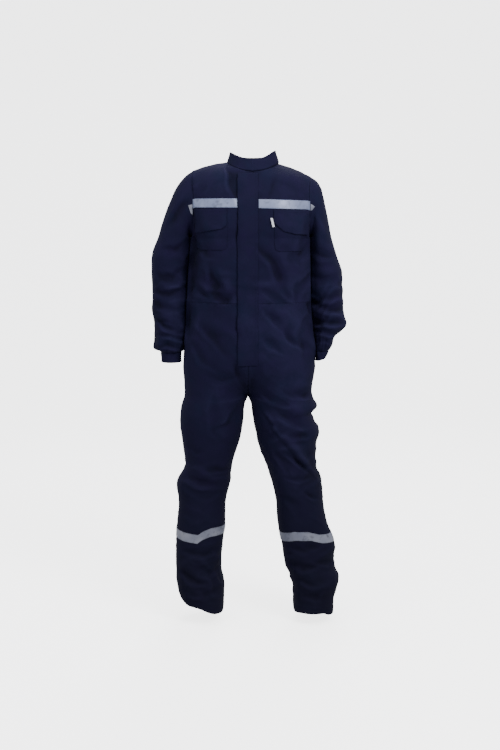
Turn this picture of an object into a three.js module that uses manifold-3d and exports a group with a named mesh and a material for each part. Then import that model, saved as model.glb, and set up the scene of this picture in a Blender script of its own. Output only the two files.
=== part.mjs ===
// A boiler suit in worn form: one hollow garment of cut cloth panels, in millimetres, +Z up.
// The front faces -Y. "right" and "left" are the wearer's, so right lies at -X.
// The origin is the middle of the neck base, at the height where the shoulders carry the suit.
import * as THREE from "three";
import { mergeVertices } from "three/addons/utils/BufferGeometryUtils.js";
import Module from "manifold-3d";

const wasm = await Module();
wasm.setup();

// Cloth and seams
const WALL = 2;
const SEAM_GAP = 0.3;
const LAYER_GAP = 0.4;
const LAYER = 1.4;

// Heights of the main lines
const ARMPIT_Z = -226;
const WAIST_Z = -425;
const RISE_Z = -590;
const FORK_Z = -735;
const THIGH_Z = -850;
const HEM_Z = -1436;

// The middle seam leans a little from the waist to the fork
const MIDDLE_WAIST_X = -8;
const MIDDLE_FORK_X = -13;

// Roundness of the sections: 2 is an ellipse, more is squarer
const TRUNK_ROUND = 2.5;
const LEG_ROUND = 2.15;
const SHOULDER_ROUND = 1.25;
const SLEEVE_ROUND = 2.1;

// Mesh density
const HALF_COLUMNS = 10;
const CHEST_ROWS = 6;
const CENTRE_ROWS = 6;
const NECK_ROWS = 4;
const HIP_ROWS = 4;
const FORK_ROWS = 5;
const LEG_ROWS = 18;
const LOWER_LEG_ROW = HIP_ROWS + FORK_ROWS + 8;
const COLLAR_LEVELS = [0, 0.34, 0.68, 1];

// Sections of each half of the trousers, waist to hem: outer and inner side, depth of the
// front and of the back, and how far the outer side of the section is lifted.
const RIGHT_HALF = [
  { z: -425, out: -203, inn: -8, front: 124, back: 116, lift: 0 },
  { z: -503, out: -208, inn: -9, front: 126, back: 122, lift: 0 },
  { z: -583, out: -214, inn: -11, front: 126, back: 132, lift: 0 },
  { z: -640, out: -217, inn: -12, front: 123, back: 136, lift: 0 },
  { z: -710, out: -213, inn: -12.5, front: 116, back: 126, lift: 0 },
  { z: -735, out: -215, inn: -13, front: 113, back: 118, lift: 0 },
  { z: -765, out: -224, inn: -26, front: 109, back: 110, lift: 0 },
  { z: -815, out: -229, inn: -30, front: 102, back: 100, lift: 0 },
  { z: -876, out: -222, inn: -41, front: 95, back: 91, lift: 0 },
  { z: -930, out: -214, inn: -58, front: 89, back: 82, lift: 0 },
  { z: -962, out: -214, inn: -65, front: 87, back: 78, lift: 0 },
  { z: -1010, out: -240, inn: -69, front: 84, back: 84, lift: 0 },
  { z: -1075, out: -236, inn: -84, front: 78, back: 84, lift: 0 },
  { z: -1142, out: -243, inn: -87, front: 75, back: 87, lift: 0 },
  { z: -1210, out: -247, inn: -95, front: 74, back: 87, lift: 0 },
  { z: -1295, out: -248, inn: -103, front: 74, back: 86, lift: 2 },
  { z: -1346, out: -247, inn: -92, front: 80, back: 88, lift: 10 },
  { z: -1400, out: -243, inn: -92, front: 80, back: 88, lift: 24 },
  { z: -1436, out: -234, inn: -96, front: 78, back: 86, lift: 34 },
];
const LEFT_HALF = [
  { z: -425, out: 182, inn: -8, front: 124, back: 116, lift: 0 },
  { z: -503, out: 188, inn: -9, front: 126, back: 122, lift: 0 },
  { z: -583, out: 198, inn: -11, front: 126, back: 132, lift: 0 },
  { z: -640, out: 201, inn: -12, front: 123, back: 136, lift: 0 },
  { z: -710, out: 193, inn: -12.5, front: 116, back: 126, lift: 0 },
  { z: -735, out: 198, inn: -13, front: 113, back: 118, lift: 0 },
  { z: -762, out: 212, inn: 0, front: 111, back: 110, lift: 0 },
  { z: -786, out: 193, inn: 2, front: 109, back: 105, lift: 0 },
  { z: -843, out: 219, inn: 14, front: 104, back: 97, lift: 0 },
  { z: -880, out: 211, inn: 21, front: 100, back: 92, lift: 0 },
  { z: -955, out: 211, inn: 46, front: 93, back: 80, lift: 0 },
  { z: -1010, out: 228, inn: 63, front: 88, back: 84, lift: 0 },
  { z: -1075, out: 233, inn: 77, front: 80, back: 86, lift: 0 },
  { z: -1142, out: 245, inn: 84, front: 75, back: 89, lift: 0 },
  { z: -1220, out: 270, inn: 100, front: 74, back: 89, lift: 0 },
  { z: -1285, out: 267, inn: 110, front: 75, back: 88, lift: 0 },
  { z: -1338, out: 286, inn: 128, front: 82, back: 86, lift: 0 },
  { z: -1390, out: 273, inn: 135, front: 80, back: 86, lift: 0 },
  { z: -1436, out: 270, inn: 138, front: 80, back: 88, lift: 0 },
];

// Sections of the bodice from the waist seam to the armpits
const CHEST = [
  { z: -425, right: -203, left: 182, middle: -8, front: 124, back: 116 },
  { z: -380, right: -200, left: 180, middle: -8, front: 127, back: 113 },
  { z: -330, right: -197, left: 180, middle: -8, front: 130, back: 114 },
  { z: -270, right: -193, left: 179, middle: -8, front: 130, back: 118 },
  { z: -226, right: -189, left: 179, middle: -8, front: 127, back: 120 },
];

// Neck and shoulders
const NECK = { x: 3, y: 5, halfWidth: 82, front: 84, back: 66, frontZ: -24, sideZ: 2, backZ: 6 };
const COLLAR_TOP = { halfWidth: 70, front: 70, back: 58, frontZ: 14, sideZ: 37, backZ: 31 };
const RIGHT_SHOULDER = { x: -186, y: 8, z: -24 };
const LEFT_SHOULDER = { x: 184, y: 8, z: -40 };
const SHOULDER_LIFT = 4;
const ARMHOLE_DEPTH = 64;
const ARMHOLE_INSET = 7;
const CHEST_FULLNESS = 14;
const BACK_FULLNESS = 16;

// Sections of each sleeve, armhole to cuff: the outer and the inner point of the section,
// its middle from front to back and its half depth.
const RIGHT_SLEEVE = [
  { outX: -211, outZ: -41, innX: -193, innZ: -229, y: 7, half: 66 },
  { outX: -236, outZ: -72, innX: -194, innZ: -235, y: 6, half: 69 },
  { outX: -255, outZ: -115, innX: -195, innZ: -243, y: 5, half: 71 },
  { outX: -274, outZ: -168, innX: -197, innZ: -260, y: 5, half: 71 },
  { outX: -293, outZ: -225, innX: -200, innZ: -288, y: 5, half: 70 },
  { outX: -311, outZ: -272, innX: -202, innZ: -318, y: 5, half: 69 },
  { outX: -316, outZ: -322, innX: -204, innZ: -350, y: 5, half: 67 },
  { outX: -316, outZ: -372, innX: -206, innZ: -388, y: 4, half: 66 },
  { outX: -317, outZ: -420, innX: -209, innZ: -426, y: 2, half: 64 },
  { outX: -320, outZ: -456, innX: -211, innZ: -460, y: 0, half: 64 },
  { outX: -314, outZ: -490, innX: -213, innZ: -493, y: -2, half: 61 },
  { outX: -312, outZ: -522, innX: -215, innZ: -524, y: -4, half: 61 },
  { outX: -313, outZ: -552, innX: -217, innZ: -553, y: -5, half: 60 },
  { outX: -312, outZ: -577, innX: -219, innZ: -577, y: -6, half: 54 },
  { outX: -291, outZ: -587, innX: -225, innZ: -587, y: -7, half: 40 },
];
const LEFT_SLEEVE = [
  { outX: 203, outZ: -54, innX: 183, innZ: -231, y: 9, half: 65 },
  { outX: 217, outZ: -80, innX: 184, innZ: -237, y: 10, half: 68 },
  { outX: 227, outZ: -120, innX: 184, innZ: -247, y: 11, half: 70 },
  { outX: 238, outZ: -170, innX: 184, innZ: -264, y: 12, half: 71 },
  { outX: 249, outZ: -228, innX: 185, innZ: -292, y: 13, half: 70 },
  { outX: 267, outZ: -282, innX: 186, innZ: -324, y: 14, half: 69 },
  { outX: 284, outZ: -328, innX: 187, innZ: -358, y: 14, half: 67 },
  { outX: 287, outZ: -380, innX: 188, innZ: -397, y: 12, half: 66 },
  { outX: 288, outZ: -428, innX: 190, innZ: -434, y: 9, half: 65 },
  { outX: 291, outZ: -468, innX: 192, innZ: -468, y: 6, half: 64 },
  { outX: 298, outZ: -499, innX: 195, innZ: -496, y: 3, half: 62 },
  { outX: 281, outZ: -520, innX: 199, innZ: -518, y: 0, half: 58 },
  { outX: 262, outZ: -540, innX: 203, innZ: -540, y: -3, half: 54 },
  { outX: 259, outZ: -564, innX: 207, innZ: -562, y: -5, half: 50 },
  { outX: 250, outZ: -583, innX: 210, innZ: -582, y: -7, half: 40 },
];
// Each cuff starts at the last section of its sleeve
const RIGHT_CUFF = [
  RIGHT_SLEEVE.at(-1),
  { outX: -289, outZ: -604, innX: -226, innZ: -604, y: -8, half: 38 },
  { outX: -287, outZ: -620, innX: -226, innZ: -620, y: -9, half: 37 },
];
const LEFT_CUFF = [
  LEFT_SLEEVE.at(-1),
  { outX: 245, outZ: -596, innX: 208, innZ: -599, y: -9, half: 39 },
  { outX: 238, outZ: -606, innX: 207, innZ: -615, y: -11, half: 38 },
];
const CUFF_GATHERS = 6;
const GATHER_DEPTH = 3;
const GATHERED_SECTIONS = 4;

// How a fold fades: sharply round the sides of the body, and to part of its depth at its ends.
const FOLD_FACING = 2.2;
const FOLD_END = 0.45;

// Seams whose two sides turn further apart than this cosine keep their own normals.
const SEAM_TURN = 0.15;

// How far in front of the middle, and behind it, a sewn-on piece's outline reaches.
const CUT_FRONT = 260;
const CUT_BEHIND = 260;

// The blend from half trunk to leg clings to the middle seam with this power of the cosine.
const SEAM_CLING = 6;

// The largest folds, each a soft trough (depth above 0) or ridge (below 0) from one point
// of the outline view to another, on the front (-1) or on the back (+1).
const FOLDS = [
  { x1: -146, z1: -352, x2: -118, z2: -420, face: -1, depth: 7, width: 17 },
  { x1: -118, z1: -420, x2: -70, z2: -440, face: -1, depth: 6, width: 16 },
  { x1: 20, z1: -272, x2: 62, z2: -312, face: -1, depth: 5, width: 16 },
  { x1: 62, z1: -312, x2: 98, z2: -408, face: -1, depth: 7, width: 18 },
  { x1: 46, z1: -470, x2: 126, z2: -556, face: -1, depth: 9, width: 20 },
  { x1: 96, z1: -470, x2: 150, z2: -520, face: -1, depth: -5, width: 18 },
  { x1: -160, z1: -520, x2: -72, z2: -600, face: -1, depth: 6, width: 20 },
  { x1: 22, z1: -700, x2: 66, z2: -810, face: -1, depth: -8, width: 22 },
  { x1: 70, z1: -780, x2: 166, z2: -835, face: -1, depth: 9, width: 22 },
  { x1: 30, z1: -720, x2: 62, z2: -752, face: -1, depth: 6, width: 18 },
  { x1: 100, z1: -925, x2: 170, z2: -975, face: -1, depth: 8, width: 20 },
  { x1: 60, z1: -820, x2: 170, z2: -950, face: -1, depth: -7, width: 26 },
  { x1: -190, z1: -925, x2: -200, z2: -965, face: -1, depth: 8, width: 18 },
  { x1: -150, z1: -990, x2: -85, z2: -985, face: -1, depth: 7, width: 18 },
  { x1: -215, z1: -1020, x2: -120, z2: -1042, face: -1, depth: 6, width: 18 },
  { x1: 115, z1: -1010, x2: 190, z2: -1014, face: -1, depth: 6, width: 18 },
  { x1: -215, z1: -1290, x2: -125, z2: -1288, face: -1, depth: 7, width: 18 },
  { x1: -235, z1: -1345, x2: -190, z2: -1372, face: -1, depth: 7, width: 18 },
  { x1: 165, z1: -1350, x2: 262, z2: -1332, face: -1, depth: 7, width: 18 },
  { x1: 170, z1: -1385, x2: 250, z2: -1392, face: -1, depth: 6, width: 17 },
  { x1: -300, z1: -505, x2: -225, z2: -530, face: -1, depth: 7, width: 16 },
  { x1: 190, z1: -430, x2: 275, z2: -452, face: -1, depth: 7, width: 16 },
  { x1: 192, z1: -490, x2: 270, z2: -505, face: -1, depth: 7, width: 15 },
  { x1: -150, z1: -120, x2: -120, z2: -330, face: 1, depth: 6, width: 26 },
  { x1: 140, z1: -130, x2: 112, z2: -340, face: 1, depth: 6, width: 26 },
  { x1: -150, z1: -385, x2: -20, z2: -412, face: 1, depth: 7, width: 20 },
  { x1: 140, z1: -370, x2: 10, z2: -405, face: 1, depth: 7, width: 20 },
  { x1: -120, z1: -330, x2: 90, z2: -352, face: 1, depth: -6, width: 24 },
  { x1: -30, z1: -640, x2: -170, z2: -700, face: 1, depth: 8, width: 22 },
  { x1: 10, z1: -645, x2: 150, z2: -715, face: 1, depth: 8, width: 22 },
  { x1: -60, z1: -930, x2: -200, z2: -962, face: 1, depth: 9, width: 20 },
  { x1: -90, z1: -1030, x2: -225, z2: -1000, face: 1, depth: 8, width: 20 },
  { x1: 60, z1: -950, x2: 195, z2: -925, face: 1, depth: 9, width: 20 },
  { x1: 80, z1: -1000, x2: 215, z2: -1030, face: 1, depth: 8, width: 20 },
  { x1: -110, z1: -1300, x2: -240, z2: -1330, face: 1, depth: 7, width: 18 },
  { x1: 125, z1: -1320, x2: 265, z2: -1290, face: 1, depth: 7, width: 18 },
  { x1: -225, z1: -365, x2: -310, z2: -395, face: 1, depth: 6, width: 18 },
  { x1: 195, z1: -392, x2: 275, z2: -366, face: 1, depth: 6, width: 18 },
];

// What lies on the panels, seen from the front
const PLACKET = { left: -43, right: 18, top: -31, bottom: -617 };
const RIGHT_TAPE = [
  [-45, -107],
  [-174, -107],
  [-200, -128],
  [-200, -160],
  [-176, -134],
  [-45, -134],
];
const LEFT_TAPE = [
  [20, -109],
  [172, -113],
  [196, -132],
  [196, -158],
  [173, -140],
  [20, -136],
];
const RIGHT_POCKET = { left: -171, right: -75, top: -142, bottom: -262, corner: 14 };
const LEFT_POCKET = { left: 68, right: 166, top: -146, bottom: -266, corner: 14 };
const RIGHT_FLAP = [
  [-77, -138],
  [-77, -182],
  [-94, -198],
  [-167, -211],
  [-172, -209],
  [-172, -138],
];
const LEFT_FLAP = [
  [66, -141],
  [66, -176],
  [74, -186],
  [94, -204],
  [130, -213],
  [169, -216],
  [169, -143],
];
const LABEL = [
  [55, -166],
  [61, -193],
  [70, -191],
  [63.5, -166],
];
const SHIN_TAPE = 29;
const RIGHT_SHIN = { outX: -262, side: -1164, midX: -178, middle: -1169, inX: -74, inner: -1153 };
const LEFT_SHIN = { outX: 272, side: -1171, midX: 182, middle: -1161, inX: 66, inner: -1188 };

const NAVY = 0x1f2640;
const TAPE_GREY = 0xb4b9c8;
const LABEL_WHITE = 0xe8e8ea;

const clamp01 = (t) => Math.min(1, Math.max(0, t));
const mix = (a, b, t) => a + (b - a) * t;
const smooth = (t) => clamp01(t) ** 2 * (3 - 2 * clamp01(t));
const rounded = (t, power) => Math.sign(t) * Math.abs(t) ** power;
const point = (x, y, z) => new THREE.Vector3(x, y, z);

// A smooth curve through a table: every column is read at a place along the key column.
function reader(rows, key) {
  const slope = (column, k) => {
    const before = rows[Math.max(0, k - 1)];
    const after = rows[Math.min(rows.length - 1, k + 1)];
    return (after[column] - before[column]) / (after[key] - before[key]);
  };
  return (at) => {
    let k = 0;
    while (k < rows.length - 2 && (at - rows[k + 1][key]) * (rows[1][key] - rows[0][key]) > 0) {
      k += 1;
    }
    const span = rows[k + 1][key] - rows[k][key];
    const t = clamp01((at - rows[k][key]) / span);
    const value = {};
    for (const column of Object.keys(rows[0])) {
      const [a, b] = [rows[k][column], rows[k + 1][column]];
      const rise = (t ** 3 - 2 * t ** 2 + t) * slope(column, k);
      const fall = (t ** 3 - t ** 2) * slope(column, k + 1);
      value[column] = a + (b - a) * (3 - 2 * t) * t ** 2 + span * (rise + fall);
    }
    return value;
  };
}

// How far the folds pull a point of the cloth inwards.
function foldDepth(p, normal) {
  let depth = 0;
  for (const fold of FOLDS) {
    const facing = smooth(normal.y * fold.face * FOLD_FACING);
    if (facing > 0) {
      const run = point(fold.x2 - fold.x1, 0, fold.z2 - fold.z1);
      const from = point(p.x - fold.x1, 0, p.z - fold.z1);
      const along = clamp01(from.dot(run) / run.lengthSq());
      const away = from.addScaledVector(run, -along).length() / fold.width;
      const taper = mix(FOLD_END, 1, Math.sin(Math.PI * along));
      depth += facing * fold.depth * taper * Math.exp(-away * away);
    }
  }
  return depth;
}

// Outward normals of a grid of points. turn is 1 where columns cross rows outwards, else -1.
function normalsOf(grid, turn, closed) {
  const columns = grid[0].length;
  const at = (j, i) => grid[j][closed ? (i + columns) % columns : Math.min(columns - 1, Math.max(0, i))];
  return grid.map((row, j) =>
    row.map((_, i) => {
      const across = at(j, i + 1).clone().sub(at(j, i - 1));
      const down = at(Math.min(grid.length - 1, j + 1), i).clone().sub(at(Math.max(0, j - 1), i));
      return across.cross(down).multiplyScalar(turn).normalize();
    }),
  );
}

// A panel before it gets its thickness. closed is true for a tube, which has no side edges,
// and whole where the first column is no seam, because the cloth carries on past it.
function panel(points, turn, { closed = false, whole = false } = {}) {
  return { points, normals: normalsOf(points, turn, closed), turn, closed, whole };
}

// Panels that share a seam get one normal along it, so that their walls meet evenly,
// except where they fold sharply away from each other.
function shareNormals(panels) {
  const shared = new Map();
  const keyOf = (p) => [p.x, p.y, p.z].map((c) => Math.round(c * 20)).join(" ");
  for (const { points, normals } of panels) {
    points.forEach((row, j) =>
      row.forEach((p, i) => {
        const key = keyOf(p);
        shared.set(key, [...(shared.get(key) ?? []), normals[j][i]]);
      }),
    );
  }
  for (const one of panels) {
    one.normals = one.points.map((row, j) =>
      row.map((p, i) => {
        const own = one.normals[j][i];
        const sum = new THREE.Vector3();
        for (const other of shared.get(keyOf(p))) {
          if (other.dot(own) > SEAM_TURN) {
            sum.add(other);
          }
        }
        return sum.normalize();
      }),
    );
  }
}

// Presses the folds into panels that share their seams.
function foldPanels(panels) {
  shareNormals(panels);
  for (const one of panels) {
    one.points = one.points.map((row, j) =>
      row.map((p, i) => {
        const normal = one.normals[j][i];
        return p.clone().addScaledVector(normal, -foldDepth(p, normal));
      }),
    );
    one.normals = normalsOf(one.points, one.turn, one.closed);
  }
  shareNormals(panels);
}

// A closed wall between two offsets of a panel, drawn back from its seams.
function wallGeometry({ points, normals, turn, closed, whole }, outside, inside, back) {
  const rows = points.length;
  const columns = points[0].length;
  const toward = (j, i) => {
    const shift = new THREE.Vector3();
    const add = (jj, ii) => {
      const step = points[jj][ii].clone().sub(points[j][i]);
      shift.addScaledVector(step.normalize(), back);
    };
    if (j === 0) add(1, i);
    if (j === rows - 1) add(rows - 2, i);
    if (!closed && !whole && i === 0) add(j, 1);
    if (!closed && i === columns - 1) add(j, columns - 2);
    return shift;
  };
  const positions = [];
  for (const offset of [outside, inside]) {
    for (let j = 0; j < rows; j += 1) {
      for (let i = 0; i < columns; i += 1) {
        const p = points[j][i].clone().addScaledVector(normals[j][i], offset).add(toward(j, i));
        positions.push(p.x, p.y, p.z);
      }
    }
  }
  const index = [];
  const lastColumn = closed ? columns : columns - 1;
  const outer = (j, i) => j * columns + (i % columns);
  const inner = (j, i) => rows * columns + outer(j, i);
  const quad = (a, b, c, d) => (turn > 0 ? index.push(a, b, c, a, c, d) : index.push(a, c, b, a, d, c));
  // Each cell is split along its shorter diagonal, so that layers of cloth have the same facets.
  for (let j = 0; j < rows - 1; j += 1) {
    for (let i = 0; i < lastColumn; i += 1) {
      const [a, b] = [points[j][i], points[j][(i + 1) % columns]];
      const [c, d] = [points[j + 1][(i + 1) % columns], points[j + 1][i]];
      if (a.distanceTo(c) < b.distanceTo(d)) {
        quad(outer(j, i), outer(j, i + 1), outer(j + 1, i + 1), outer(j + 1, i));
        quad(inner(j, i), inner(j + 1, i), inner(j + 1, i + 1), inner(j, i + 1));
      } else {
        quad(outer(j, i + 1), outer(j + 1, i + 1), outer(j + 1, i), outer(j, i));
        quad(inner(j, i + 1), inner(j, i), inner(j + 1, i), inner(j + 1, i + 1));
      }
    }
  }
  for (let i = 0; i < lastColumn; i += 1) {
    quad(outer(0, i), inner(0, i), inner(0, i + 1), outer(0, i + 1));
    quad(outer(rows - 1, i), outer(rows - 1, i + 1), inner(rows - 1, i + 1), inner(rows - 1, i));
  }
  for (let j = 0; j < rows - 1 && !closed; j += 1) {
    quad(outer(j, 0), outer(j + 1, 0), inner(j + 1, 0), inner(j, 0));
    quad(outer(j, columns - 1), inner(j, columns - 1), inner(j + 1, columns - 1), outer(j + 1, columns - 1));
  }
  const geometry = new THREE.BufferGeometry();
  geometry.setAttribute("position", new THREE.Float32BufferAttribute(positions, 3));
  geometry.setIndex(index);
  return geometry;
}

// One half of the trousers as rings from the waist to the hem. The ring is an open half of
// the trunk down to the rise line, a closed loop from the fork on, and a blend between.
function trouserRing(read, z) {
  const row = read(z);
  if (z >= FORK_Z) {
    row.inn = mix(MIDDLE_WAIST_X, MIDDLE_FORK_X, (z - WAIST_Z) / (FORK_Z - WAIST_Z));
  }
  const into = clamp01((RISE_Z - z) / (RISE_Z - FORK_Z));
  const atSeam = 1 - Math.sqrt(1 - into * into);
  const atSide = smooth((RISE_Z - z) / (RISE_Z - THIGH_Z));
  const middle = (row.out + row.inn) / 2;
  const half = (row.out - row.inn) / 2;
  return (u) => {
    const trunk = Math.PI * u;
    const loop = mix(atSide, atSeam, Math.cos(trunk) ** SEAM_CLING);
    const leg = 2 * Math.PI * u;
    const depth = u < 0.5 ? row.front : row.back;
    const x = mix(
      row.inn + 2 * half * rounded(Math.sin(trunk), 2 / TRUNK_ROUND),
      middle - half * rounded(Math.cos(leg), 2 / LEG_ROUND),
      loop,
    );
    const y = mix(
      -depth * rounded(Math.cos(trunk), 2 / TRUNK_ROUND),
      -depth * rounded(Math.sin(leg), 2 / LEG_ROUND),
      loop,
    );
    const outward = Math.max(0, (x - middle) / half);
    return point(x, y, z + row.lift * outward * outward);
  };
}

// Heights of the trouser rings, close together round the fork.
function trouserLevels() {
  const levels = [];
  for (let k = 0; k < HIP_ROWS; k += 1) {
    levels.push(mix(WAIST_Z, RISE_Z, k / HIP_ROWS));
  }
  for (let k = 0; k < FORK_ROWS; k += 1) {
    levels.push(mix(RISE_Z, FORK_Z, Math.sin((Math.PI / 2) * (k / FORK_ROWS))));
  }
  for (let k = 0; k <= LEG_ROWS; k += 1) {
    levels.push(mix(FORK_Z, HEM_Z, k / LEG_ROWS));
  }
  return levels;
}

function trouserGrid(table, from, to) {
  const read = reader(table, "z");
  return trouserLevels().map((z) => {
    const ring = trouserRing(read, z);
    return Array.from({ length: HALF_COLUMNS + 1 }, (_, i) => ring(mix(from, to, i / HALF_COLUMNS)));
  });
}

// The edge of the armhole: t runs from the armpit, at 0, to the shoulder point, at 1.
function armhole(side, face, t) {
  const shoulder = side < 0 ? RIGHT_SHOULDER : LEFT_SHOULDER;
  const armpitX = side < 0 ? CHEST.at(-1).right : CHEST.at(-1).left;
  const round = Math.sin(Math.PI * t);
  return point(
    mix(armpitX, shoulder.x, t) - side * ARMHOLE_INSET * round,
    shoulder.y * t + face * ARMHOLE_DEPTH * rounded(round, 2 / SLEEVE_ROUND),
    mix(ARMPIT_Z, shoulder.z, (1 - Math.cos(Math.PI * t)) / 2),
  );
}

// The neckline: t runs from the middle of the front or back, at 0, to the shoulder, at 1.
function neckline(side, face, t) {
  const turn = (Math.PI / 2) * t;
  const depth = face < 0 ? NECK.front : NECK.back;
  const endZ = face < 0 ? NECK.frontZ : NECK.backZ;
  return point(
    NECK.x + side * NECK.halfWidth * Math.sin(turn),
    NECK.y + face * depth * Math.cos(turn),
    mix(endZ, NECK.sideZ, Math.sin(turn) ** 2),
  );
}

// A quarter of the bodice as rows from the shoulder seam down to the waist seam.
function bodiceGrid(side, face) {
  const read = reader(CHEST, "z");
  const rowsAbove = CENTRE_ROWS + NECK_ROWS;
  const armpitRow = read(ARMPIT_Z);
  const armpitDepth = face * (face < 0 ? armpitRow.front : armpitRow.back);
  const grid = [];
  for (let k = rowsAbove; k > 0; k -= 1) {
    const t = k / rowsAbove;
    const outer = armhole(side, face, t);
    const start = neckline(side, face, 0);
    const onNeck = (k - CENTRE_ROWS) / NECK_ROWS;
    const upCentre = clamp01(k / CENTRE_ROWS);
    const swing = (Math.PI / 2) * upCentre;
    const centre = point(
      mix(armpitRow.middle, start.x, upCentre),
      mix(armpitDepth, start.y, 1 - Math.cos(swing)),
      mix(ARMPIT_Z, start.z, upCentre),
    );
    const inner = onNeck > 0 ? neckline(side, face, onNeck) : centre;
    const power = 2 / mix(TRUNK_ROUND, SHOULDER_ROUND, smooth(t));
    const fullness = (face < 0 ? CHEST_FULLNESS : BACK_FULLNESS) * Math.sin(Math.PI * t);
    grid.push(
      Array.from({ length: HALF_COLUMNS + 1 }, (_, i) => {
        const turn = (Math.PI / 2) * (i / HALF_COLUMNS);
        const out = rounded(Math.sin(turn), power);
        const near = rounded(Math.cos(turn), power);
        const swell = face * fullness * Math.sin(Math.PI * out) ** 2;
        return point(
          mix(inner.x, outer.x, out),
          outer.y + (inner.y - outer.y) * near + swell,
          mix(inner.z, outer.z, out) + SHOULDER_LIFT * t * t * Math.sin(Math.PI * out),
        );
      }),
    );
  }
  for (let k = 0; k <= CHEST_ROWS; k += 1) {
    const row = read(mix(ARMPIT_Z, WAIST_Z, k / CHEST_ROWS));
    const sideX = side < 0 ? row.right : row.left;
    const depth = face * (face < 0 ? row.front : row.back);
    grid.push(
      Array.from({ length: HALF_COLUMNS + 1 }, (_, i) => {
        const turn = (Math.PI / 2) * (i / HALF_COLUMNS);
        return point(
          mix(row.middle, sideX, rounded(Math.sin(turn), 2 / TRUNK_ROUND)),
          depth * rounded(Math.cos(turn), 2 / TRUNK_ROUND),
          row.z,
        );
      }),
    );
  }
  return grid;
}

// Both fronts as one panel, from the right side to the left, over the rows on the middle line.
function joinFronts(right, left, firstRow, lastRow) {
  const join = (one, other) => {
    const rest = other.slice(firstRow, lastRow + 1);
    return one.slice(firstRow, lastRow + 1).map((row, j) => [...row].reverse().concat(rest[j].slice(1)));
  };
  return {
    points: join(right.points, left.points),
    normals: join(right.normals, left.normals),
    turn: -1,
    closed: false,
  };
}

// The lower leg as one tube, from the inner side over the front and back again.
function joinLeg(front, back) {
  const loop = (grid, rest) =>
    grid.slice(LOWER_LEG_ROW).map((row, j) => row.concat(rest[LOWER_LEG_ROW + j].slice(1, -1)));
  return {
    points: loop(front.points, back.points),
    normals: loop(front.normals, back.normals),
    turn: front.turn,
    closed: true,
  };
}

// A sleeve or cuff section: u runs from the inner point over the front, the outer point
// and the back, and returns.
function sleeveRing(row, gather) {
  const count = 2 * (CENTRE_ROWS + NECK_ROWS);
  return Array.from({ length: count }, (_, i) => {
    const turn = (2 * Math.PI * i) / count;
    const wave = 1 + (gather * Math.cos(CUFF_GATHERS * turn)) / row.half;
    const out = (1 - wave * rounded(Math.cos(turn), 2 / SLEEVE_ROUND)) / 2;
    return point(
      mix(row.innX, row.outX, out),
      row.y - wave * row.half * rounded(Math.sin(turn), 2 / SLEEVE_ROUND),
      mix(row.innZ, row.outZ, out),
    );
  });
}

function sleeveGrid(side, table) {
  const rows = CENTRE_ROWS + NECK_ROWS;
  const first = [];
  for (let k = 0; k < rows; k += 1) {
    first.push(armhole(side, -1, k / rows));
  }
  for (let k = rows; k > 0; k -= 1) {
    first.push(armhole(side, 1, k / rows));
  }
  const rings = table.map((row, k) => {
    const fromCuff = table.length - 1 - k;
    const gathered = fromCuff > 0 ? clamp01((GATHERED_SECTIONS - fromCuff) / (GATHERED_SECTIONS - 1)) : 0;
    return sleeveRing(row, GATHER_DEPTH * gathered);
  });
  return [first, ...rings];
}

// The collar stands on the neckline and is open at the middle of the front.
function collarGrid() {
  return COLLAR_LEVELS.map((h) =>
    Array.from({ length: 4 * NECK_ROWS + 1 }, (_, i) => {
      const around = i / NECK_ROWS;
      const side = around < 2 ? -1 : 1;
      const half = side < 0 ? around : 4 - around;
      const face = half < 1 ? -1 : 1;
      const turn = (Math.PI / 2) * (face < 0 ? half : 2 - half);
      const base = neckline(side, face, face < 0 ? half : 2 - half);
      const depth = face < 0 ? COLLAR_TOP.front : COLLAR_TOP.back;
      const endZ = face < 0 ? COLLAR_TOP.frontZ : COLLAR_TOP.backZ;
      const top = point(
        NECK.x + side * COLLAR_TOP.halfWidth * Math.sin(turn),
        NECK.y + face * depth * Math.cos(turn),
        mix(endZ, COLLAR_TOP.sideZ, Math.sin(turn) ** 2),
      );
      return base.lerp(top, h);
    }),
  ).reverse();
}

// A closed geometry as a solid for cutting, and back.
function toSolid(geometry) {
  const plain = new THREE.BufferGeometry();
  plain.setAttribute("position", geometry.getAttribute("position"));
  plain.setIndex(geometry.index);
  const merged = mergeVertices(plain, 1e-4);
  return new wasm.Manifold(
    new wasm.Mesh({
      numProp: 3,
      vertProperties: merged.attributes.position.array,
      triVerts: new Uint32Array(merged.index.array),
    }),
  );
}

function toGeometry(solid) {
  const mesh = solid.getMesh();
  const geometry = new THREE.BufferGeometry();
  const positions = new THREE.Float32BufferAttribute(mesh.vertProperties, mesh.numProp);
  geometry.setAttribute("position", positions);
  geometry.setIndex(new THREE.Uint32BufferAttribute(mesh.triVerts, 1));
  return geometry;
}

// A prism along Y with the given outline of [x, z] points, from before the suit to a depth.
function prismOf(outline, behind) {
  const shape = new THREE.Shape(outline.map(([x, z]) => new THREE.Vector2(x, z)));
  const prism = new THREE.ExtrudeGeometry(shape, { depth: CUT_FRONT + behind, bevelEnabled: false });
  prism.deleteAttribute("normal");
  prism.deleteAttribute("uv");
  prism.rotateX(Math.PI / 2);
  prism.translate(0, behind, 0);
  return mergeVertices(prism, 1e-4);
}

// The part of the layers that lies inside an outline, as cloth sewn on the panel below it.
function sewnOn(layers, outline, behind = 0) {
  let cut = null;
  for (const layer of layers) {
    const piece = toSolid(layer).intersect(toSolid(prismOf(outline, behind)));
    cut = cut ? cut.add(piece) : piece;
  }
  return toGeometry(cut);
}

function boxOutline({ left, right, top, bottom, corner = 0 }) {
  if (!corner) {
    return [
      [left, top],
      [left, bottom],
      [right, bottom],
      [right, top],
    ];
  }
  return [
    [left, top],
    [left, bottom + corner],
    [left + corner, bottom],
    [right - corner, bottom],
    [right, bottom + corner],
    [right, top],
  ];
}

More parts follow.
